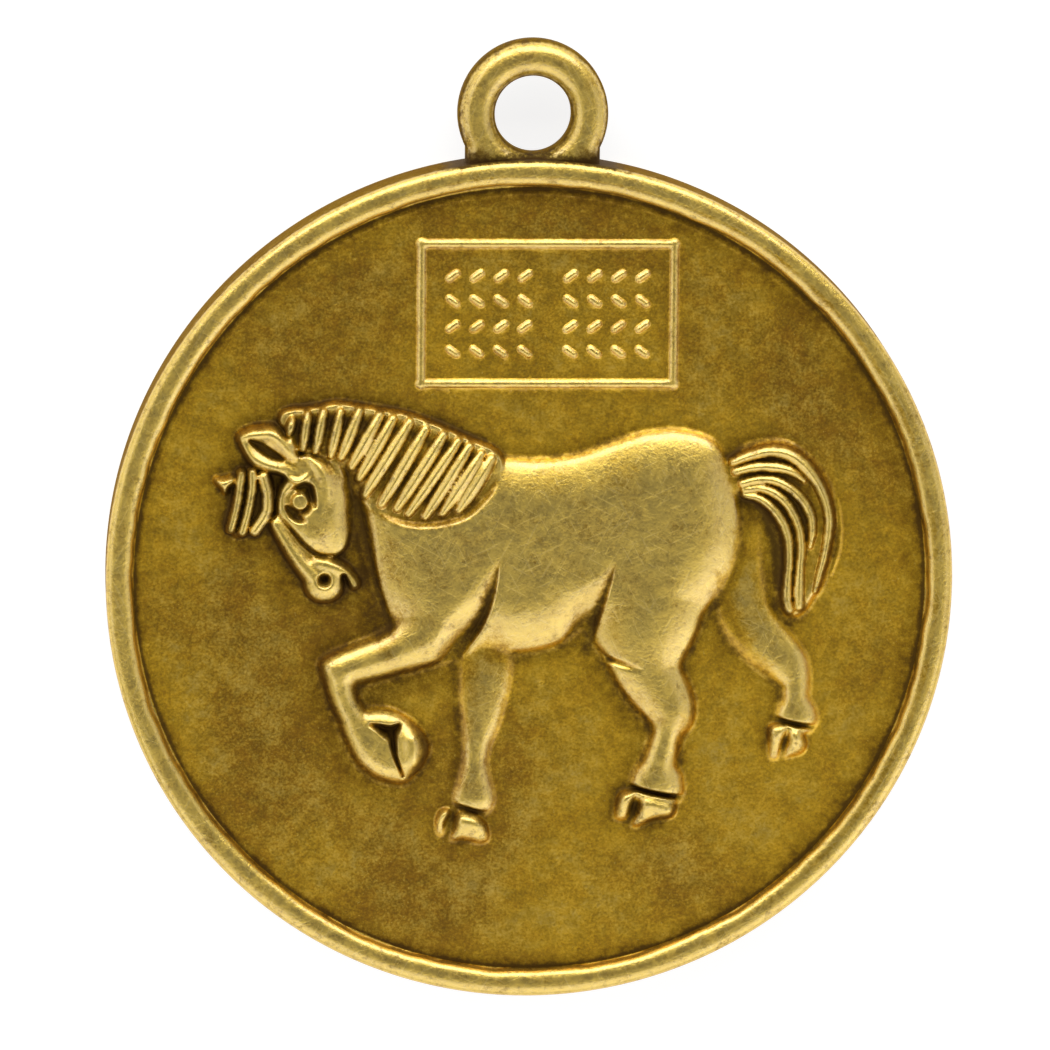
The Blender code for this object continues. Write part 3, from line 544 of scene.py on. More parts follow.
def forelock_locks(relief):
    """The three locks of the forelock."""
    for lock, half_width in (([(-455, 166), (-458, 140), (-464, 106), (-472, 76)], 7.5),
                             ([(-438, 168), (-438, 140), (-444, 106), (-453, 72)], 7.5),
                             ([(-420, 160), (-413, 130), (-415, 104), (-433, 74)], 10)):
        relief.ridge(evenly(lock, half_width, 0.76))


def hooves(relief):
    """Each hoof is a broad half and a sliver, with a cleft between them."""
    near_hind = [(185, -355), (217, -359), (239, -372), (236, -390), (206, -397), (179, -408),
                 (167, -406), (177, -379)]
    near_hind_sliver = [(152, -350), (178, -348), (172, -364), (163, -397), (142, -395), (141, -379)]
    far_hind = [(421, -247), (437, -251), (448, -271), (443, -287), (424, -295), (410, -295), (415, -272)]
    far_hind_sliver = [(389, -242), (415, -243), (410, -271), (403, -298), (388, -297), (386, -271)]
    far_fore = [(-108, -384), (-80, -388), (-62, -403), (-58, -429), (-70, -435), (-99, -429),
                (-121, -429), (-115, -408)]
    far_fore_sliver = [(-135, -380), (-121, -379), (-129, -401), (-130, -424), (-140, -421), (-143, -400)]
    for outline, height in ((near_hind, 0.76), (near_hind_sliver, 0.7), (far_hind, 0.64),
                            (far_hind_sliver, 0.6), (far_fore, 0.66), (far_fore_sliver, 0.54)):
        relief.form(outline, height, edge=14, base=0.34, fall=0.36)


def tail_strands(relief):
    """Strands that arch from the dock and hang down."""
    strands = [
        [(324, 184, 9, 0.56), (351, 195, 11, 0.64), (383, 202, 12, 0.68), (410, 198, 13, 0.7),
         (432, 184, 13, 0.7), (450, 164, 12, 0.68), (465, 139, 11, 0.66), (475, 111, 10.5, 0.64),
         (478, 85, 10, 0.62), (475, 55, 9, 0.6), (469, 24, 8, 0.58), (462, -3, 7, 0.54),
         (457, -24, 5, 0.48)],
        [(329, 169, 9, 0.56), (354, 176, 10, 0.64), (386, 177, 11, 0.66), (415, 171, 10, 0.64),
         (437, 155, 6, 0.5)],
        [(339, 150, 8, 0.54), (361, 156, 9, 0.6), (386, 156, 10, 0.64), (408, 147, 10, 0.66),
         (427, 132, 10, 0.66), (442, 113, 10, 0.66), (450, 92, 9, 0.64), (451, 71, 8, 0.6),
         (448, 48, 5, 0.48)],
        [(342, 140, 7, 0.54), (364, 143, 9, 0.6), (386, 137, 10, 0.64), (407, 121, 10, 0.66),
         (421, 100, 10, 0.66), (431, 74, 9, 0.64), (434, 44, 9, 0.62), (432, 8, 9, 0.62),
         (431, -24, 11, 0.64), (432, -47, 10, 0.6)],
        [(343, 131, 7, 0.54), (366, 126, 9, 0.62), (386, 111, 10, 0.68), (402, 90, 10, 0.68),
         (412, 64, 10, 0.66), (415, 34, 9, 0.62), (413, -2, 9, 0.6), (412, -34, 10, 0.6),
         (416, -53, 9, 0.56)],
    ]
    slimmer, higher = 0.8, 0.06
    for strand in strands:
        relief.ridge([(x, y, slimmer * half_width, height + higher) for x, y, half_width, height in strand])
    stray_hair = [(491, 122, 4, 0.06), (497, 84, 4, 0.09), (495, 42, 4, 0.09), (483, 2, 4, 0.06)]
    relief.bar(stray_hair)


def body_carving(relief):
    """Creases that part the limbs from the barrel, each with a long slope down to it, and the throat."""
    shoulder = [(-45, 30, 12, 0.02), (-54, -13, 36, 0.22), (-65, -50, 52, 0.4), (-81, -85, 60, 0.54),
                (-99, -111, 58, 0.66), (-113, -134, 46, 0.72), (-121, -155, 30, 0.7)]
    flank = [(139, 24, 12, 0.03), (123, -24, 40, 0.26), (109, -63, 56, 0.42), (98, -98, 56, 0.52),
             (92, -124, 40, 0.5)]
    throat = [(-289, 176, 14, 0.1), (-284, 150, 26, 0.3), (-277, 120, 36, 0.5), (-270, 84, 38, 0.66),
              (-261, 40, 32, 0.7), (-252, 4, 24, 0.66), (-240, -30, 18, 0.6), (-228, -64, 14, 0.5)]
    relief.fold(shoulder, floor=CREASE_FLOOR)
    relief.fold(flank, floor=CREASE_FLOOR)
    relief.cut([(100, -118, 9, 0.2), (123, -131, 9, 0.22), (153, -141, 8, 0.14), (180, -148, 6, 0.03)],
               floor=0.2)
    relief.fold(throat, floor=CREASE_FLOOR, wall=0.75)


def foot_carving(relief):
    """The hollow under the folded foot, the cleft of its hoof and the grooves over the other hooves."""
    relief.cut([(-248, -237, 5, 0.2), (-234, -242, 9, 0.5), (-217, -249, 14, 0.7), (-204, -240, 7, 0.4)],
               floor=0.08)
    relief.cut([(-214, -258, 9, 0.6), (-209, -288, 4.5, 0.45), (-196, -322, 3.5, 0.25)], floor=0.12)
    relief.swell([(-181, -262, 24, 0.24), (-180, -296, 24, 0.2)])
    for groove in ([(148, -337), (196, -348), (247, -359)],
                   [(393, -231), (431, -240), (467, -247)],
                   [(-111, -372), (-84, -380), (-54, -388)]):
        relief.cut(evenly(groove, 6, 0.5), floor=0.05)


def head_carving(relief):
    """Ear, brow, eye, cheek, nostril and lips."""
    relief.cut([(-441, 219, 4, 0.3), (-428, 211, 8, 0.5), (-414, 202, 9, 0.55), (-400, 194, 7, 0.45),
                (-389, 189, 4, 0.2)], floor=0.34)
    relief.swell([(-454, 225, 12, 0.1), (-432, 230, 17, 0.24), (-408, 230, 19, 0.3), (-392, 220, 19, 0.3),
                  (-378, 203, 17, 0.26), (-364, 188, 12, 0.06)])
    relief.swell([(-450, 212, 10, 0.08), (-442, 198, 13, 0.18), (-430, 187, 15, 0.22), (-414, 180, 15, 0.22),
                  (-396, 175, 14, 0.2), (-378, 170, 12, 0.1), (-364, 168, 9, 0.02)])
    relief.swell([(-362, 206, 8, 0.03), (-352, 197, 12, 0.12), (-338, 186, 15, 0.2), (-326, 168, 17, 0.2),
                  (-320, 146, 16, 0.12), (-322, 124, 14, 0.04)])
    relief.swell([(-394, 168, 7, 0.06), (-380, 160, 8, 0.16), (-366, 155, 8, 0.18), (-353, 162, 7, 0.1),
                  (-346, 170, 6, 0.03)])
    relief.cut([(-364, 122, 27, 1.3)], floor=0.54)
    relief.cut([(-372, 143, 5, 0.1), (-357, 146, 9, 0.4), (-349, 144, 11, 0.5), (-343, 130, 8, 0.4),
                (-339, 116, 5, 0.2)], floor=0.3)
    relief.cut([(-382, 112, 6, 0.2), (-374, 102, 10, 0.4), (-364, 95, 9, 0.4), (-354, 92, 5, 0.1)],
               floor=0.36)
    eye_x, eye_y, lid_reach = -362, 122, 12.5
    relief.bar([(eye_x, eye_y, 14.5, 0.78)], crest=9)
    turns = [math.radians(turn) for turn in range(0, 361, 30)]
    lid = [(eye_x + lid_reach * math.cos(turn), eye_y + lid_reach * math.sin(turn)) for turn in turns]
    relief.swell(evenly(lid, 3.6, 0.12))
    relief.cut([(-397, 101, 3, 0.06), (-375, 76, 4.5, 0.2), (-353, 50, 5, 0.28), (-331, 35, 5, 0.3),
                (-300, 34, 4, 0.16)], floor=0.46)
    relief.cut([(-323, -4, 15, 0.6)], floor=0.3)
    relief.cut([(-292, 2, 7, 0.5), (-288, -12, 8, 0.6), (-287, -28, 7, 0.5)], floor=0.08)


def shade_and_dirt_along_forms(relief):
    """Dark brown laid beside tail, cheek, mane and limbs, and in the creases: old dirt, and painted shade
    where the forms shade the field.
    """
    for line in (
        [(361, 126, 8, 0.4), (378, 102, 15, 0.9), (390, 68, 17, 1.0), (396, 27, 15, 0.9),
         (399, -22, 10, 0.4)],
        [(338, 110, 10, 0.3), (340, 50, 13, 0.5), (330, 0, 13, 0.5), (296, -56, 13, 0.4),
         (262, -112, 12, 0.3)],
        [(-290, 160, 14, 0.2), (-276, 124, 24, 0.4), (-268, 84, 26, 0.6), (-260, 40, 24, 0.55),
         (-248, 0, 20, 0.5), (-232, -46, 18, 0.45), (-216, -92, 14, 0.3)],
        [(-48, 22, 7, 0.2), (-57, -14, 11, 0.6), (-70, -52, 15, 0.8), (-86, -86, 17, 0.8),
         (-106, -114, 16, 0.7), (-118, -140, 12, 0.5)],
        [(135, 16, 7, 0.2), (123, -24, 11, 0.6), (110, -62, 15, 0.8), (100, -96, 16, 0.8),
         (93, -124, 14, 0.6)],
        [(-56, -130, 14, 0.3), (10, -134, 14, 0.35), (66, -122, 14, 0.3)],
        [(-48, 160, 7, 0.3), (-67, 124, 8, 0.5), (-92, 100, 8, 0.5), (-124, 87, 8, 0.5), (-172, 82, 8, 0.5),
         (-211, 89, 8, 0.5), (-248, 108, 8, 0.4)],
        [(-290, -30, 16, 0.2), (-262, -46, 26, 0.3), (-240, -88, 24, 0.36), (-222, -128, 20, 0.3)],
        [(-248, -196, 14, 0.4), (-216, -188, 22, 0.5), (-176, -180, 24, 0.4), (-128, -168, 16, 0.25)],
        [(-476, 184, 12, 0.3), (-464, 177, 10, 0.6), (-448, 172, 8, 0.3)],
        [(252, -190, 10, 0.2), (250, -226, 14, 0.4), (242, -270, 14, 0.4), (244, -310, 12, 0.3)],
        [(300, 10, 10, 0.2), (318, -50, 16, 0.4), (346, -110, 16, 0.4), (388, -160, 16, 0.4),
         (404, -200, 12, 0.3)],
        [(-110, -130, 10, 0.2), (-116, -180, 14, 0.35), (-110, -240, 12, 0.3), (-116, -300, 12, 0.3)],
    ):
        relief.soil_and_shade(line)


def frame_and_strokes(relief, sizes):
    """Thin frame with a knob at each corner, round rows of short leaning strokes."""
    relief.scale(1.0, 1.0)
    wall, dirt_and_shade, polish = 0.1, 0.34, 0.5

    def soiled(ends, width):
        relief.soil_and_shade([(*end, width, dirt_and_shade) for end in ends])

    def raised(ends, width, rise):
        relief.bar([(*end, width / 2, rise) for end in ends], wall=wall)
        relief.polish([(*end, 0.7 * width, polish) for end in ends])

    half_x = (sizes.width - sizes.bar) / 2
    half_y = (sizes.height - sizes.bar) / 2
    corners = [(sizes.centre_x + x * half_x, sizes.centre_y + y * half_y)
               for x, y in ((-1, -1), (1, -1), (1, 1), (-1, 1))]
    sides = list(zip(corners, corners[1:] + corners[:1]))
    for side in sides:
        soiled(side, sizes.bar)
    for side in sides:
        raised(side, sizes.bar, sizes.rise)
        relief.bar([(*side[0], sizes.knob / 2, sizes.rise)], wall=wall)
    half_run = (sizes.stroke_length - sizes.stroke_width) / 2
    for block_x in (sizes.centre_x - sizes.block_pitch / 2, sizes.centre_x + sizes.block_pitch / 2):
        for row in range(sizes.stroke_rows):
            y = sizes.centre_y + (row - (sizes.stroke_rows - 1) / 2) * sizes.stroke_pitch_y
            turn = sizes.stroke_lean if row % 2 else -sizes.stroke_lean
            reach_x, reach_y = half_run * math.cos(turn), half_run * math.sin(turn)
            for column in range(sizes.strokes_in_row):
                x = block_x + (column - (sizes.strokes_in_row - 1) / 2) * sizes.stroke_pitch_x
                ends = [(x - reach_x, y - reach_y), (x + reach_x, y + reach_y)]
                soiled(ends, sizes.stroke_width)
                raised(ends, sizes.stroke_width, sizes.stroke_rise)


# The casting


def carved_relief(sizes):
    """All the forms of the face, from the far ones to the near ones."""
    disc, horse = sizes.charm_disc, sizes.charm_horse
    relief = Relief(disc.diameter / 2 - disc.rim_width / 2, sizes.charm_fineness.sample_pitch, horse)
    for draw in (far_legs, tail_ground, trunk, near_foreleg):
        draw(relief)
    relief.soften(horse.broad_softness)
    for draw in (mane_ground, head, hooves):
        draw(relief)
    relief.soften(horse.form_softness)
    for draw in (mane_locks, forelock_locks, tail_strands, body_carving, foot_carving, head_carving):
        draw(relief)
    shade_and_dirt_along_forms(relief)
    frame_and_strokes(relief, sizes.charm_frame)
    relief.soften(horse.cast_softness)
    return relief


def cloudy(relief, size, draws):
    """Smooth random field of about unit height, with blotches of the given size."""
    noise = softened(draws.standard_normal(relief.z.shape), size / 2 / relief.pitch)
    return noise / noise.std()


def unevenness(relief, disc, draws):
    """Slow waves, small lumps and the faint ring that the mould leaves on a cast face."""
    waves = 2.6 * cloudy(relief, 1.6 * MM, draws) + 1.6 * cloudy(relief, 0.5 * MM, draws)
    grains = 1.3 * cloudy(relief, 0.22 * MM, draws) + 0.7 * cloudy(relief, 0.12 * MM, draws)
    from_foot = relief.half_width - disc.rim_width / 2 - numpy.hypot(relief.x, relief.y)
    ring_width, lump_height = 0.04 * MM, 0.001 * MM
    ring = numpy.exp(-0.5 * ((from_foot - disc.ring_from_foot) / ring_width) ** 2)
    clearer_on_top = 0.6 + 0.4 * numpy.sin(numpy.arctan2(relief.y, relief.x))
    return lump_height * (waves + grains) + disc.ring_rise * ring * clearer_on_top


def with_rim(relief, disc):
    """The relief's heights with the rim's wall and a flat top round them."""
    radius = numpy.hypot(relief.x, relief.y)
    wall = numpy.clip((radius - disc.diameter / 2 + disc.rim_width) / disc.rim_slope, 0.0, 1.0)
    return numpy.maximum(relief.z, disc.rim_rise * wall)


def hollows(relief, disc):
    """How deep each place lies among what is round it, below 0 on crests and above 0 in grooves, dirt and
    painted shade.

    The stain in the hollows is patina. It is shifted towards one side, so that it lies thicker to the left of
    the forms and under them, and that shift is painted shade.
    """
    heights = with_rim(relief, disc)
    low = 1.0 - ramped(relief.z, 0.1 * MM, 0.4 * MM)

    def depth_among(*layers):
        """A layer is a width to look over, a shift towards the side of painted shade, and weights on forms
        and on field.
        """
        total = numpy.zeros(heights.shape)
        for width, shade_shift, on_forms, on_field in layers:
            around = softened(heights, width * MM / relief.pitch)
            # Reading the smoothed heights at a shifted place paints shade to the left of the forms and under
            # them.
            aside = relief.read(around, relief.x + shade_shift * MM, relief.y + 0.35 * shade_shift * MM)
            total += (aside - heights) / MM * (on_forms + (on_field - on_forms) * low)
        return total

    narrow = depth_among((0.08, 0.0, 4.6, 3.0), (0.18, 0.0, 2.4, 2.4))
    broad = depth_among((0.34, 0.12, 1.7, 2.2), (0.7, 0.34, 0.0, 2.2))
    # The laid dirt and painted shade along the forms add to it.
    dirt_and_shade = softened(relief.dirt_and_shade, 0.05 * MM / relief.pitch)
    return (numpy.clip(narrow, -1.0, 1.0) + numpy.clip(broad, -1.0, 0.46)) * (1.0 - numpy.abs(dirt_and_shade)) + dirt_and_shade


def steepness_and_shade(relief):
    """How much of a wall each place is, from 0 on gentle slopes to 1 on steep ones. Walls that face up
    towards the key light count a quarter less, which is painted light.
    """
    down, across = numpy.gradient(softened(relief.z, 0.06 * MM / relief.pitch), relief.pitch)
    # Walls facing +Y, towards the key light, are given less brown: painted light.
    lit_facing_up = ramped(-down, 0.2, 1.2)
    steep = ramped(numpy.hypot(down, across), 0.6, 1.6) * (1.0 - 0.25 * lit_facing_up)
    return softened(steep, 0.05 * MM / relief.pitch)


def places_of(mesh):
    """The vertices' places, a row for each."""
    places = numpy.empty(len(mesh.vertices) * 3)
    mesh.vertices.foreach_get("co", places)
    return places.reshape(-1, 3)


def put_places(mesh, places):
    mesh.vertices.foreach_set("co", places.ravel())
    mesh.update()


@contextmanager
def edited(mesh):
    """A mesh opened for edits, which are written back at the end."""
    shape = bmesh.new()
    shape.from_mesh(mesh)
    yield shape
    shape.to_mesh(mesh)
    shape.free()


def grid(name, squares, half_width):
    """Flat square mesh of so many squares each way."""
    mesh = bpy.data.meshes.new(name)
    with edited(mesh) as shape:
        bmesh.ops.create_grid(shape, x_segments=squares, y_segments=squares, size=half_width)
    return mesh


def evaluated_copy(item):
    """The mesh that an object's modifiers or curve settings make."""
    bpy.context.view_layer.update()
    return bpy.data.meshes.new_from_object(item.evaluated_get(bpy.context.evaluated_depsgraph_get()))


def linked(name, data):
    item = bpy.data.objects.new(name, data)
    bpy.context.scene.collection.objects.link(item)
    return item


def relief_sheet(relief, lumps, depth, sizes):
    """Sheet of the face: fine round the forms and in their hollows, coarse on the open field.

    While it is thinned out, the hollows stand up as heights too, so that the stain and painted shade have
    vertices there.
    """
    field = sizes.charm_disc.thickness - sizes.charm_disc.rim_rise
    radius = relief.half_width
    hollow_height = 0.04 * MM
    squares = int(2 * radius / sizes.charm_fineness.sample_pitch)
    mesh = grid("relief", squares, 1.0)
    places = places_of(mesh)
    u, v = places[:, 0].copy(), places[:, 1].copy()
    places[:, 0] = radius * u * numpy.sqrt(1 - v * v / 2)
    places[:, 1] = radius * v * numpy.sqrt(1 - u * u / 2)
    places[:, 2] = field + relief.read(relief.z + lumps + hollow_height * depth, places[:, 0], places[:, 1])
    put_places(mesh, places)
    sheet = linked("relief", mesh)
    thin_out = sheet.modifiers.new("thin_out", "DECIMATE")
    thin_out.ratio = sizes.charm_fineness.relief_triangles / (2 * squares**2)
    thinned = evaluated_copy(sheet)
    bpy.data.objects.remove(sheet)
    places = places_of(thinned)
    places[:, 2] = field + relief.read(relief.z + lumps, places[:, 0], places[:, 1])
    put_places(thinned, places)
    return thinned


def web(relief, lumps, depth, sizes):
    """Web of the disc: the face's sheet, closed by a wall and a flat back."""
    mesh = relief_sheet(relief, lumps, depth, sizes)
    with edited(mesh) as shape:
        border = [edge for edge in shape.edges if edge.is_boundary]
        wall = bmesh.ops.extrude_edge_only(shape, edges=border)["geom"]
        for item in wall:
            if isinstance(item, bmesh.types.BMVert):
                item.co.z = sizes.charm_disc.back_recess
        rest = [item for item in wall if isinstance(item, bmesh.types.BMEdge)]
        bmesh.ops.contextual_create(shape, geom=rest)
        bmesh.ops.recalc_face_normals(shape, faces=shape.faces)
    return linked("charm_casting", mesh)


def crown(inner, outer, top, drop, squareness, steps):
    """Rounded top of the rim, from its inner to its outer shoulder."""
    middle = (inner + outer) / 2
    half = (outer - inner) / 2
    points = []
    for k in range(2 * steps + 1):
        turn = math.pi * (1 - k / (2 * steps))
        squared = 2 / squareness
        along = math.copysign(abs(math.cos(turn)) ** squared, math.cos(turn))
        points.append((middle + half * along, top - drop + drop * abs(math.sin(turn)) ** squared))
    return points


def rim_profile(disc, steps):
    """Section of the rim: up its inner wall, over the crown, down the edge and round the flat back land."""
    radius = disc.diameter / 2
    field = disc.thickness - disc.rim_rise
    field_radius = radius - disc.rim_width
    buried = disc.rim_rise / 2
    points = [(field_radius - buried * disc.rim_slope / disc.rim_rise, field - buried)]
    points += crown(field_radius + disc.rim_slope, radius, disc.thickness, disc.rim_round,
                    disc.crown_squareness, steps)
    for k in range(steps):
        turn = math.pi / 2 * k / (steps - 1)
        points.append((radius - disc.rim_round * (1 - math.cos(turn)), disc.rim_round * (1 - math.sin(turn))))
    back_foot = radius - disc.back_rim_width
    points.append((back_foot, 0.0))
    points.append((back_foot - 2 * disc.back_slope, 2 * disc.back_recess))
    return points


def turned_rim(sizes, draws):
    """Rim turned from its section, with edges that wander a little."""
    disc, fineness = sizes.charm_disc, sizes.charm_fineness
    profile = rim_profile(disc, fineness.rim_steps)
    mesh = bpy.data.meshes.new("rim")
    links = [(k, (k + 1) % len(profile)) for k in range(len(profile))]
    mesh.from_pydata([(r, 0.0, z) for r, z in profile], links, [])
    rim = linked("rim", mesh)
    turn = rim.modifiers.new("turn", "SCREW")
    turn.steps = turn.render_steps = fineness.rim_segments
    turn.use_merge_vertices = True
    turn.merge_threshold = WELD
    rim.data = evaluated_copy(rim)
    rim.modifiers.clear()
    places = places_of(rim.data)
    turns = numpy.arctan2(places[:, 1], places[:, 0])
    radius = numpy.hypot(places[:, 0], places[:, 1])
    on_face = ramped(places[:, 2], disc.thickness / 2, disc.thickness - disc.rim_round)
    outer_radius = disc.diameter / 2
    inner = 1.0 - ramped(radius, outer_radius - disc.rim_width, outer_radius - 0.1 * disc.rim_width)
    wander = numpy.zeros(len(turns))
    wave_counts = range(3, 100)
    for waves in wave_counts:
        phase = draws.uniform(0, 2 * math.pi)
        wander += draws.standard_normal() / waves**0.5 * numpy.cos(waves * turns + phase)
    wander *= disc.wobble / wander.std() / 2
    grown = 1.0 + on_face * inner * wander / radius
    places[:, 0] *= grown
    places[:, 1] *= grown
    put_places(rim.data, places)
    return rim


def loop_outline(sizes):
    """Round loop whose sides run straight down into the disc."""
    loop, disc = sizes.charm_loop, sizes.charm_disc
    segments = sizes.charm_fineness.loop_segments
    radius = loop.outer_diameter / 2
    half_foot = radius * math.sin(loop.sides_from)
    points = []
    for k in range(segments + 1):
        turn = loop.sides_from - math.pi + (2 * math.pi - 2 * loop.sides_from) * k / segments
        points.append((-radius * math.sin(turn), loop_centre_y(sizes) + radius * math.cos(turn)))
    sunk_in_rim = 0.85
    foot_y = disc.diameter / 2 - sunk_in_rim * disc.rim_width
    return points + [(-half_foot, foot_y), (half_foot, foot_y)]


def loop_centre_y(sizes):
    loop = sizes.charm_loop
    return sizes.charm_disc.diameter / 2 + loop.hole_to_edge + loop.hole_diameter / 2


def hanging_loop(sizes):
    """Flat loop with rounded edges and a round hole, cut out of one outline."""
    loop, fineness = sizes.charm_loop, sizes.charm_fineness
    outline = bpy.data.curves.new("loop", "CURVE")
    outline.dimensions = "2D"
    outline.fill_mode = "BOTH"
    outline.extrude = loop.thickness / 2 - loop.edge_round
    outline.bevel_depth = loop.edge_round
    outline.bevel_resolution = fineness.loop_steps
    outline.offset = -loop.edge_round
    hole = loop.hole_diameter / 2
    turns = [2 * math.pi * k / fineness.loop_segments for k in range(fineness.loop_segments)]
    bore = [(hole * math.sin(turn), loop_centre_y(sizes) + hole * math.cos(turn)) for turn in turns]
    for points in (loop_outline(sizes), bore):
        spline = outline.splines.new("POLY")
        spline.points.add(len(points) - 1)
        for point, (x, y) in zip(spline.points, points):
            point.co = (x, y, 0.0, 1.0)
        spline.use_cyclic_u = True
    drawn = linked("loop_outline", outline)
    mesh = evaluated_copy(drawn)
    bpy.data.objects.remove(drawn)
    with edited(mesh) as shape:
        bmesh.ops.remove_doubles(shape, verts=shape.verts, dist=WELD)
        bmesh.ops.translate(shape, verts=shape.verts, vec=(0.0, 0.0, sizes.charm_disc.thickness / 2))
        bmesh.ops.recalc_face_normals(shape, faces=shape.faces)
    return linked("loop", mesh)


def join(body, others):
    """Joins each other form to the body, and removes it."""
    for other in others:
        union = body.modifiers.new("join_" + other.name, "BOOLEAN")
        union.operation = "UNION"
        union.solver = "EXACT"
        union.object = other
    body.data = evaluated_copy(body)
    body.modifiers.clear()
    for other in others:
        bpy.data.objects.remove(other)


def age(mesh, relief, depth, sizes):
    """Writes on each vertex how much stain and painted shade it holds, how much it is rubbed and how much of
    a wall it is.
    """
    disc, loop = sizes.charm_disc, sizes.charm_loop
    x, y, z = places_of(mesh).T
    radius = numpy.hypot(x, y)
    rim_radius = disc.diameter / 2
    field = disc.thickness - disc.rim_rise

    # Face
    on_face = (z > field - 0.3 * disc.rim_rise) & (radius < relief.half_width)
    hollow = relief.read(depth, x, y)
    height = relief.read(relief.z, x, y) / sizes.charm_horse.rise
    worn = 0.2 + 0.42 * ramped(height, 0.05, 0.6) + 0.2 * ramped(height, 0.75, 1.0)
    rubbed_elsewhere = 0.75
    # The stain is patina in the hollows together with painted shade beside and under the forms.
    stain_and_shade = numpy.where(on_face, numpy.clip(hollow, 0.0, 1.0), 0.0)
    rub = numpy.where(on_face, numpy.clip(worn - hollow, 0.0, 1.0), rubbed_elsewhere)
    wall = numpy.where(on_face, relief.read(steepness_and_shade(relief), x, y), 0.0)

    # Rim's edge, loop, and the crevice between them. The crevice gets painted shade, and the sides of rim and
    # loop get the walls' brown, which is partly painted shade.
    from_loop = numpy.hypot(x, y - loop_centre_y(sizes))
    on_loop = (y > 0) & (from_loop < loop.outer_diameter / 2 + 0.05 * MM)
    on_loop &= radius > rim_radius + 0.02 * MM
    edge = (radius > relief.half_width) & ~on_loop
    # The rim's outer side gets the walls' brown: partly oxide, partly painted shade.
    below_crown = ramped(disc.thickness - z, 0.4 * disc.rim_round, 1.3 * disc.rim_round)
    wall = numpy.where(edge, below_crown, wall)
    rub = numpy.where(edge, 0.8 - 0.5 * below_crown, rub)
    loop_top = (disc.thickness + loop.thickness) / 2
    # The loop's rounded sides get the walls' brown and some stain: partly oxide, partly painted shade.
    loop_side = ramped(loop_top - z, 0.2 * loop.edge_round, 0.75 * loop.edge_round)
    wall = numpy.where(on_loop, loop_side, wall)
    stain_and_shade = numpy.where(on_loop, 0.34 * loop_side, stain_and_shade)
    # Painted shade in the crevice where the loop meets the rim.
    crevice_shade = 1.2 * numpy.exp(-numpy.abs(radius - rim_radius - 0.04 * MM) / (0.2 * MM))
    crevice_shade *= 1.0 - ramped(numpy.abs(x), 0.45 * loop.outer_diameter, 0.72 * loop.outer_diameter)
    crevice_shade *= (y > 0) & (z < disc.thickness * 0.95)
    stain_and_shade = numpy.maximum(stain_and_shade, crevice_shade)

    # Back, and the lowest part of the edge
    back = (z < 1.5 * disc.back_recess) & (radius < rim_radius - 0.8 * disc.back_rim_width)
    foot = rim_radius - disc.back_rim_width - disc.back_slope
    stain_and_shade[back] = 0.1 + 0.9 * numpy.exp(-numpy.abs(radius[back] - foot) / (0.3 * MM))
    rub[back] = 0.25
    wall[z < disc.rim_round] *= 0.3
    for name, values in (("stain_and_shade", stain_and_shade), ("rub", rub), ("wall", wall)):
        layer = mesh.attributes.new(name, "FLOAT", "POINT")
        layer.data.foreach_set("value", values.astype(numpy.float32))


class CHARM_OT_cast(bpy.types.Operator):
    """Cast the charm: disc, rim, horse, small frame and hanging loop in one piece, with its finish"""

    bl_idname = "charm.cast"
    bl_label = "Cast charm"

    def execute(self, context):
        sizes = context.scene
        draws = numpy.random.default_rng(RANDOM_SEED)
        relief = carved_relief(sizes)
        lumps = unevenness(relief, sizes.charm_disc, draws)
        depth = hollows(relief, sizes.charm_disc)
        casting = web(relief, lumps, depth, sizes)
        join(casting, [turned_rim(sizes, draws), hanging_loop(sizes)])
        age(casting.data, relief, depth, sizes)
        casting.data.shade_smooth()
        casting.data.set_sharp_from_angle(angle=SMOOTH_UP_TO)
        casting.location.y = CAD_LOW[1] + sizes.charm_disc.diameter / 2
        casting.data.materials.clear()
        casting.data.materials.append(antique_brass(sizes.charm_brass))
        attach(casting, "root")
        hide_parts("charm")
        return {"FINISHED"}


# Finish


SPECK_SIZE, PIT_SIZE, FLECK_SIZE = 0.24 * MM, 0.2 * MM, 0.11 * MM


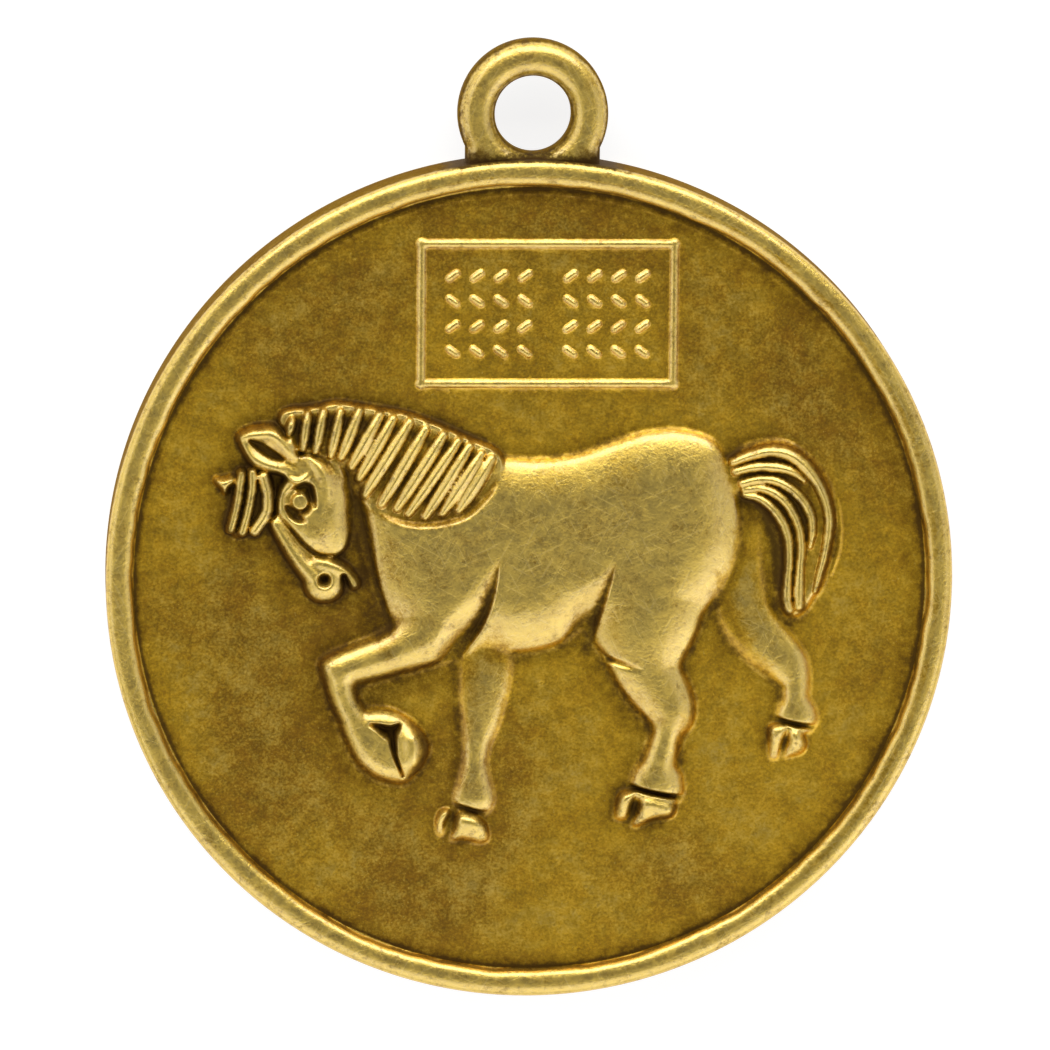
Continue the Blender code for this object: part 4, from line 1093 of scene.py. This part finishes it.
class Nodes:
    """Short hand for one material's nodes."""

    def __init__(self, name):
        self.material = bpy.data.materials.new(name)
        self.material.use_nodes = True
        self.tree = self.material.node_tree
        self.shader = self.tree.nodes["Principled BSDF"]

    def feed(self, node, inputs):
        """Sets a node's inputs; each is a number, a colour or another node's output."""
        for key, value in inputs.items():
            if isinstance(value, bpy.types.NodeSocket):
                self.tree.links.new(value, node.inputs[key])
            else:
                node.inputs[key].default_value = value

    def add(self, kind, inputs=(), **settings):
        """A node with its settings and inputs."""
        node = self.tree.nodes.new(kind)
        for name, value in settings.items():
            setattr(node, name, value)
        self.feed(node, dict(inputs))
        return node

    def math(self, operation, *values):
        return self.add("ShaderNodeMath", dict(enumerate(values)), operation=operation).outputs[0]

    def ramp(self, value, low, high, to_low=0.0, to_high=1.0):
        """A value's range mapped to another with smooth ends."""
        inputs = {"Value": value, "From Min": low, "From Max": high, "To Min": to_low, "To Max": to_high}
        return self.add("ShaderNodeMapRange", inputs, interpolation_type="SMOOTHSTEP").outputs["Result"]

    def shifted(self, value, *ramps):
        """A value with ramps of other values added to it."""
        for ramp in ramps:
            value = self.math("ADD", value, self.ramp(*ramp))
        return value

    def mix(self, part, first, second):
        """Colours mixed by a part from 0 to 1."""
        return self.add("ShaderNodeMix", {0: part, 6: first, 7: second}, data_type="RGBA").outputs[2]

    def noise(self, coordinates, size, detail=2.0, roughness=0.5, distortion=0.0):
        """Noise whose features have a real size."""
        inputs = {"Vector": coordinates, "Scale": 1.0 / size, "Detail": detail, "Roughness": roughness,
                  "Distortion": distortion}
        return self.add("ShaderNodeTexNoise", inputs).outputs["Fac"]

    def attribute(self, name):
        return self.add("ShaderNodeAttribute", attribute_name=name).outputs["Fac"]


def opaque(rgb):
    return (*rgb, 1.0)


def scratches(nodes, coordinates, width):
    """Criss-cross hairlines: stretched noise at several turns, of which only the crests are kept."""
    total = None
    for turn_deg, stretch, threshold in ((24, 18, 0.66), (61, 26, 0.655), (118, 20, 0.66), (152, 24, 0.665)):
        turning = {"Vector": coordinates, "Rotation": (0.0, 0.0, math.radians(turn_deg)),
                   "Scale": (stretch, 1.0, 1.0)}
        turned = nodes.add("ShaderNodeMapping", turning, vector_type="TEXTURE").outputs[0]
        streaks = nodes.noise(turned, 3.0 * width, detail=1.0, distortion=0.15)
        lines = nodes.ramp(streaks, threshold, threshold + 0.05)
        total = lines if total is None else nodes.math("MAXIMUM", total, lines)
    return total


def antique_brass(finish):
    """Brass that is rubbed bright on its tops, olive brown on its field and stained brown in its hollows,
    with painted shade beside and under the forms, on their walls and in the crevice by the loop.

    A ramp is a source, the range of it that counts, and what it gives at both ends.
    """
    nodes = Nodes("antique_brass")
    where = nodes.add("ShaderNodeTexCoord").outputs["Object"]
    stain_and_shade, rub, wall = (nodes.attribute(name) for name in ("stain_and_shade", "rub", "wall"))
    blotches = nodes.noise(where, finish.mottle_size, detail=5.0, roughness=0.62)
    clouds = nodes.noise(where, 5.0 * finish.mottle_size, detail=2.0)
    patches = nodes.noise(where, 0.36 * finish.mottle_size, detail=4.0, roughness=0.6, distortion=0.4)
    specks = nodes.noise(where, SPECK_SIZE, detail=4.0, roughness=0.7)
    grain = nodes.noise(where, finish.grain_size, detail=3.0, roughness=0.6)
    pits = nodes.ramp(nodes.noise(where, PIT_SIZE, detail=1.0), 0.76, 0.84)
    pits = nodes.math("MULTIPLY", pits, nodes.ramp(rub, 0.25, 0.5, 1.0, 0.0))
    flecks = nodes.ramp(nodes.noise(where, FLECK_SIZE, detail=2.0, roughness=0.7), 0.66, 0.74)
    lines = scratches(nodes, where, finish.scratch_width)
    lines = nodes.math("MULTIPLY", lines, nodes.ramp(rub, 0.15, 0.7))

    worn = nodes.shifted(rub, (blotches, 0.3, 0.7, -0.18, 0.18), (specks, 0.25, 0.75, -0.16, 0.16),
                         (grain, 0.3, 0.7, -0.12, 0.12))
    worn = nodes.ramp(worn, 0.0, 1.0)
    tarnish = nodes.ramp(patches, 0.3, 0.7, 0.2, 0.32)
    tarnish = nodes.shifted(tarnish, (specks, 0.3, 0.7, 0.2, 0.04), (grain, 0.3, 0.7, 0.16, -0.04),
                            (blotches, 0.3, 0.7, 0.12, -0.12), (clouds, 0.35, 0.65, 0.16, -0.16))
    # The walls' brown, partly painted shade.
    dull_wall_and_shade = nodes.ramp(nodes.shifted(wall, (specks, 0.3, 0.7, 0.12, -0.12)), 0.1, 0.9)
    speckled = nodes.ramp(rub, 0.5, 0.9, 0.14, 0.44)
    speckled = nodes.math("MULTIPLY", nodes.ramp(specks, 0.3, 0.7, 1.0, -1.0), speckled)
    # dark carries the stain: patina in the hollows, with painted shade beside and under the forms.
    dark = nodes.shifted(nodes.math("ADD", stain_and_shade, speckled), (blotches, 0.35, 0.65, 0.1, -0.1))
    dark = nodes.math("MAXIMUM", nodes.ramp(dark, 0.05, 0.95), nodes.math("MULTIPLY", pits, 0.5))

    metal = nodes.mix(nodes.ramp(tarnish, 0.0, 0.9), opaque(finish.field), opaque(finish.tarnish))
    metal = nodes.mix(worn, metal, opaque(finish.rubbed))
    for part, most, tint in ((lines, 0.45, finish.fresh), (flecks, 0.7, finish.rubbed),
                             (dull_wall_and_shade, 0.85, finish.wall), (dark, 0.92, finish.stain_and_shade)):
        metal = nodes.mix(nodes.math("MULTIPLY", part, most), metal, opaque(tint))

    covered = nodes.math("MAXIMUM", dark, nodes.math("MULTIPLY", dull_wall_and_shade, 0.9))
    gloss = nodes.ramp(worn, 0.0, 1.0, finish.field_roughness, finish.rubbed_roughness)
    gloss = nodes.shifted(gloss, (patches, 0.3, 0.7, -0.07, 0.07), (grain, 0.3, 0.7, -0.05, 0.05))
    gloss = nodes.add("ShaderNodeMix", {0: covered, 2: gloss, 3: finish.stain_and_shade_roughness}).outputs[0]
    lacquer = nodes.math("MULTIPLY", nodes.ramp(covered, 0.0, 0.9, finish.lacquer, 0.0),
                         nodes.ramp(worn, 0.1, 0.7, 0.35, 1.0))

    height = nodes.math("MULTIPLY", grain, nodes.ramp(rub, 0.2, 0.7, 0.008, 0.012))
    for operation, source, share_up in (("ADD", specks, nodes.ramp(rub, 0.2, 0.7, 0.009, 0.02)),
                                        ("SUBTRACT", pits, 0.006), ("SUBTRACT", lines, 0.0022)):
        height = nodes.math(operation, height, nodes.math("MULTIPLY", source, share_up))
    bump = nodes.add("ShaderNodeBump", {"Height": height, "Distance": MM, "Strength": 1.0})

    nodes.feed(nodes.shader, {
        "Base Color": metal, "Roughness": gloss, "Metallic": nodes.ramp(dark, 0.2, 1.0, 1.0, 0.6),
        "Normal": bump.outputs[0], "Specular Tint": opaque(finish.glancing), "Coat Weight": lacquer,
        "Coat IOR": finish.lacquer_ior, "Coat Roughness": finish.lacquer_roughness,
    })
    return nodes.material


# Stage


WHITE = (1.0, 1.0, 1.0, 1.0)
SOFTBOX_DISTANCE = 400 * MM
FLOOR_HALF_WIDTH = 3.0
FLOOR_DROP = 0.01 * MM


def floor_material(look):
    nodes = Nodes("floor")
    nodes.feed(nodes.shader, {
        "Base Color": opaque(look.floor), "Roughness": 0.7, "Specular IOR Level": 0.2,
        "Emission Color": WHITE, "Emission Strength": look.floor_glow,
    })
    return nodes.material


def softbox(name, centre, azimuth_deg, elevation_deg, size, radiance):
    """Evenly lit rectangle that looks at the charm, from a side and a height given as turns."""
    azimuth, elevation = math.radians(azimuth_deg), math.radians(elevation_deg)
    away = Vector((math.cos(azimuth) * math.cos(elevation), math.sin(azimuth) * math.cos(elevation),
                   math.sin(elevation)))
    light = bpy.data.lights.new(name, "AREA")
    light.shape = "RECTANGLE"
    light.size, light.size_y = size
    light.energy = math.pi * radiance * size[0] * size[1]
    box = linked(name, light)
    box.location = centre + SOFTBOX_DISTANCE * away
    box.rotation_euler = (-away).to_track_quat("-Z", "Y").to_euler()


def camera_over(look, centre):
    """Camera over the charm, leaning a little to one side."""
    away = Vector((math.sin(look.tilt) * math.cos(look.tilt_towards),
                   math.sin(look.tilt) * math.sin(look.tilt_towards), math.cos(look.tilt)))
    lens = bpy.data.cameras.new("camera")
    lens.sensor_width = 36.0
    lens.lens = lens.sensor_width * look.camera_distance / look.view_width
    lens.clip_start, lens.clip_end = 1 * MM, 10.0
    camera = linked("camera", lens)
    up = Vector((math.sin(look.roll), math.cos(look.roll), 0.0))
    right = up.cross(away).normalized()
    turned = Matrix((right, away.cross(right), away)).transposed().to_4x4()
    camera.matrix_world = Matrix.Translation(centre + look.camera_distance * away) @ turned
    return camera


class CHARM_OT_stage(bpy.types.Operator):
    """Lay the floor, light it and set the camera over the charm"""

    bl_idname = "charm.stage"
    bl_label = "Set stage"

    def execute(self, context):
        look = context.scene.charm_stage
        disc = context.scene.charm_disc
        floor = linked("floor", grid("floor", 1, FLOOR_HALF_WIDTH))
        floor.data.materials.append(floor_material(look))
        floor.location.z = -FLOOR_DROP
        middle = Vector((0.0, CAD_LOW[1] + disc.diameter / 2, disc.thickness))
        softbox("key", middle, 88, 29, (0.66, 0.25), look.key)
        softbox("bounce", middle, 274, 36, (0.92, 0.38), look.bounce)
        softbox("left", middle, 166, 28, (0.56, 0.28), 0.9 * look.side)
        softbox("right", middle, 346, 31, (0.48, 0.32), 0.5 * look.side)
        room = bpy.data.worlds.new("room")
        room.use_nodes = True
        inputs = room.node_tree.nodes["Background"].inputs
        inputs["Color"].default_value = WHITE
        inputs["Strength"].default_value = look.room
        context.scene.world = room
        context.scene.view_settings.view_transform = "Standard"
        context.scene.camera = camera_over(look, middle + Vector((look.aim_x, look.aim_y, 0.0)))
        return {"FINISHED"}


# Panel


class CHARM_PT_panel(bpy.types.Panel):
    """Lists what can be made and the sizes that it is made from"""

    bl_idname = "CHARM_PT_panel"
    bl_label = "Zodiac charm"
    bl_space_type = "VIEW_3D"
    bl_region_type = "UI"
    bl_category = "Charm"

    def draw(self, context):
        self.layout.operator(CHARM_OT_cast.bl_idname)
        self.layout.operator(CHARM_OT_stage.bl_idname)
        for name in GROUPS:
            group = getattr(context.scene, name)
            box = self.layout.box()
            box.label(text=group.bl_rna.description)
            for key in group.__annotations__:
                box.prop(group, key)


GROUPS = {
    "charm_disc": DiscSizes,
    "charm_loop": LoopSizes,
    "charm_horse": HorseSizes,
    "charm_frame": FrameSizes,
    "charm_fineness": Fineness,
    "charm_brass": BrassFinish,
    "charm_stage": StageLook,
}
OPERATORS = (CHARM_OT_cast, CHARM_OT_stage)


def register():
    for group in GROUPS.values():
        bpy.utils.register_class(group)
    for name, group in GROUPS.items():
        setattr(bpy.types.Scene, name, PointerProperty(type=group))
    for item in (*OPERATORS, CHARM_PT_panel):
        bpy.utils.register_class(item)


def unregister():
    for item in (CHARM_PT_panel, *reversed(OPERATORS)):
        bpy.utils.unregister_class(item)
    for name, group in GROUPS.items():
        delattr(bpy.types.Scene, name)
        bpy.utils.unregister_class(group)


def main():
    register()
    bpy.ops.charm.cast()
    bpy.ops.charm.stage()


if __name__ == "__main__":
    main()
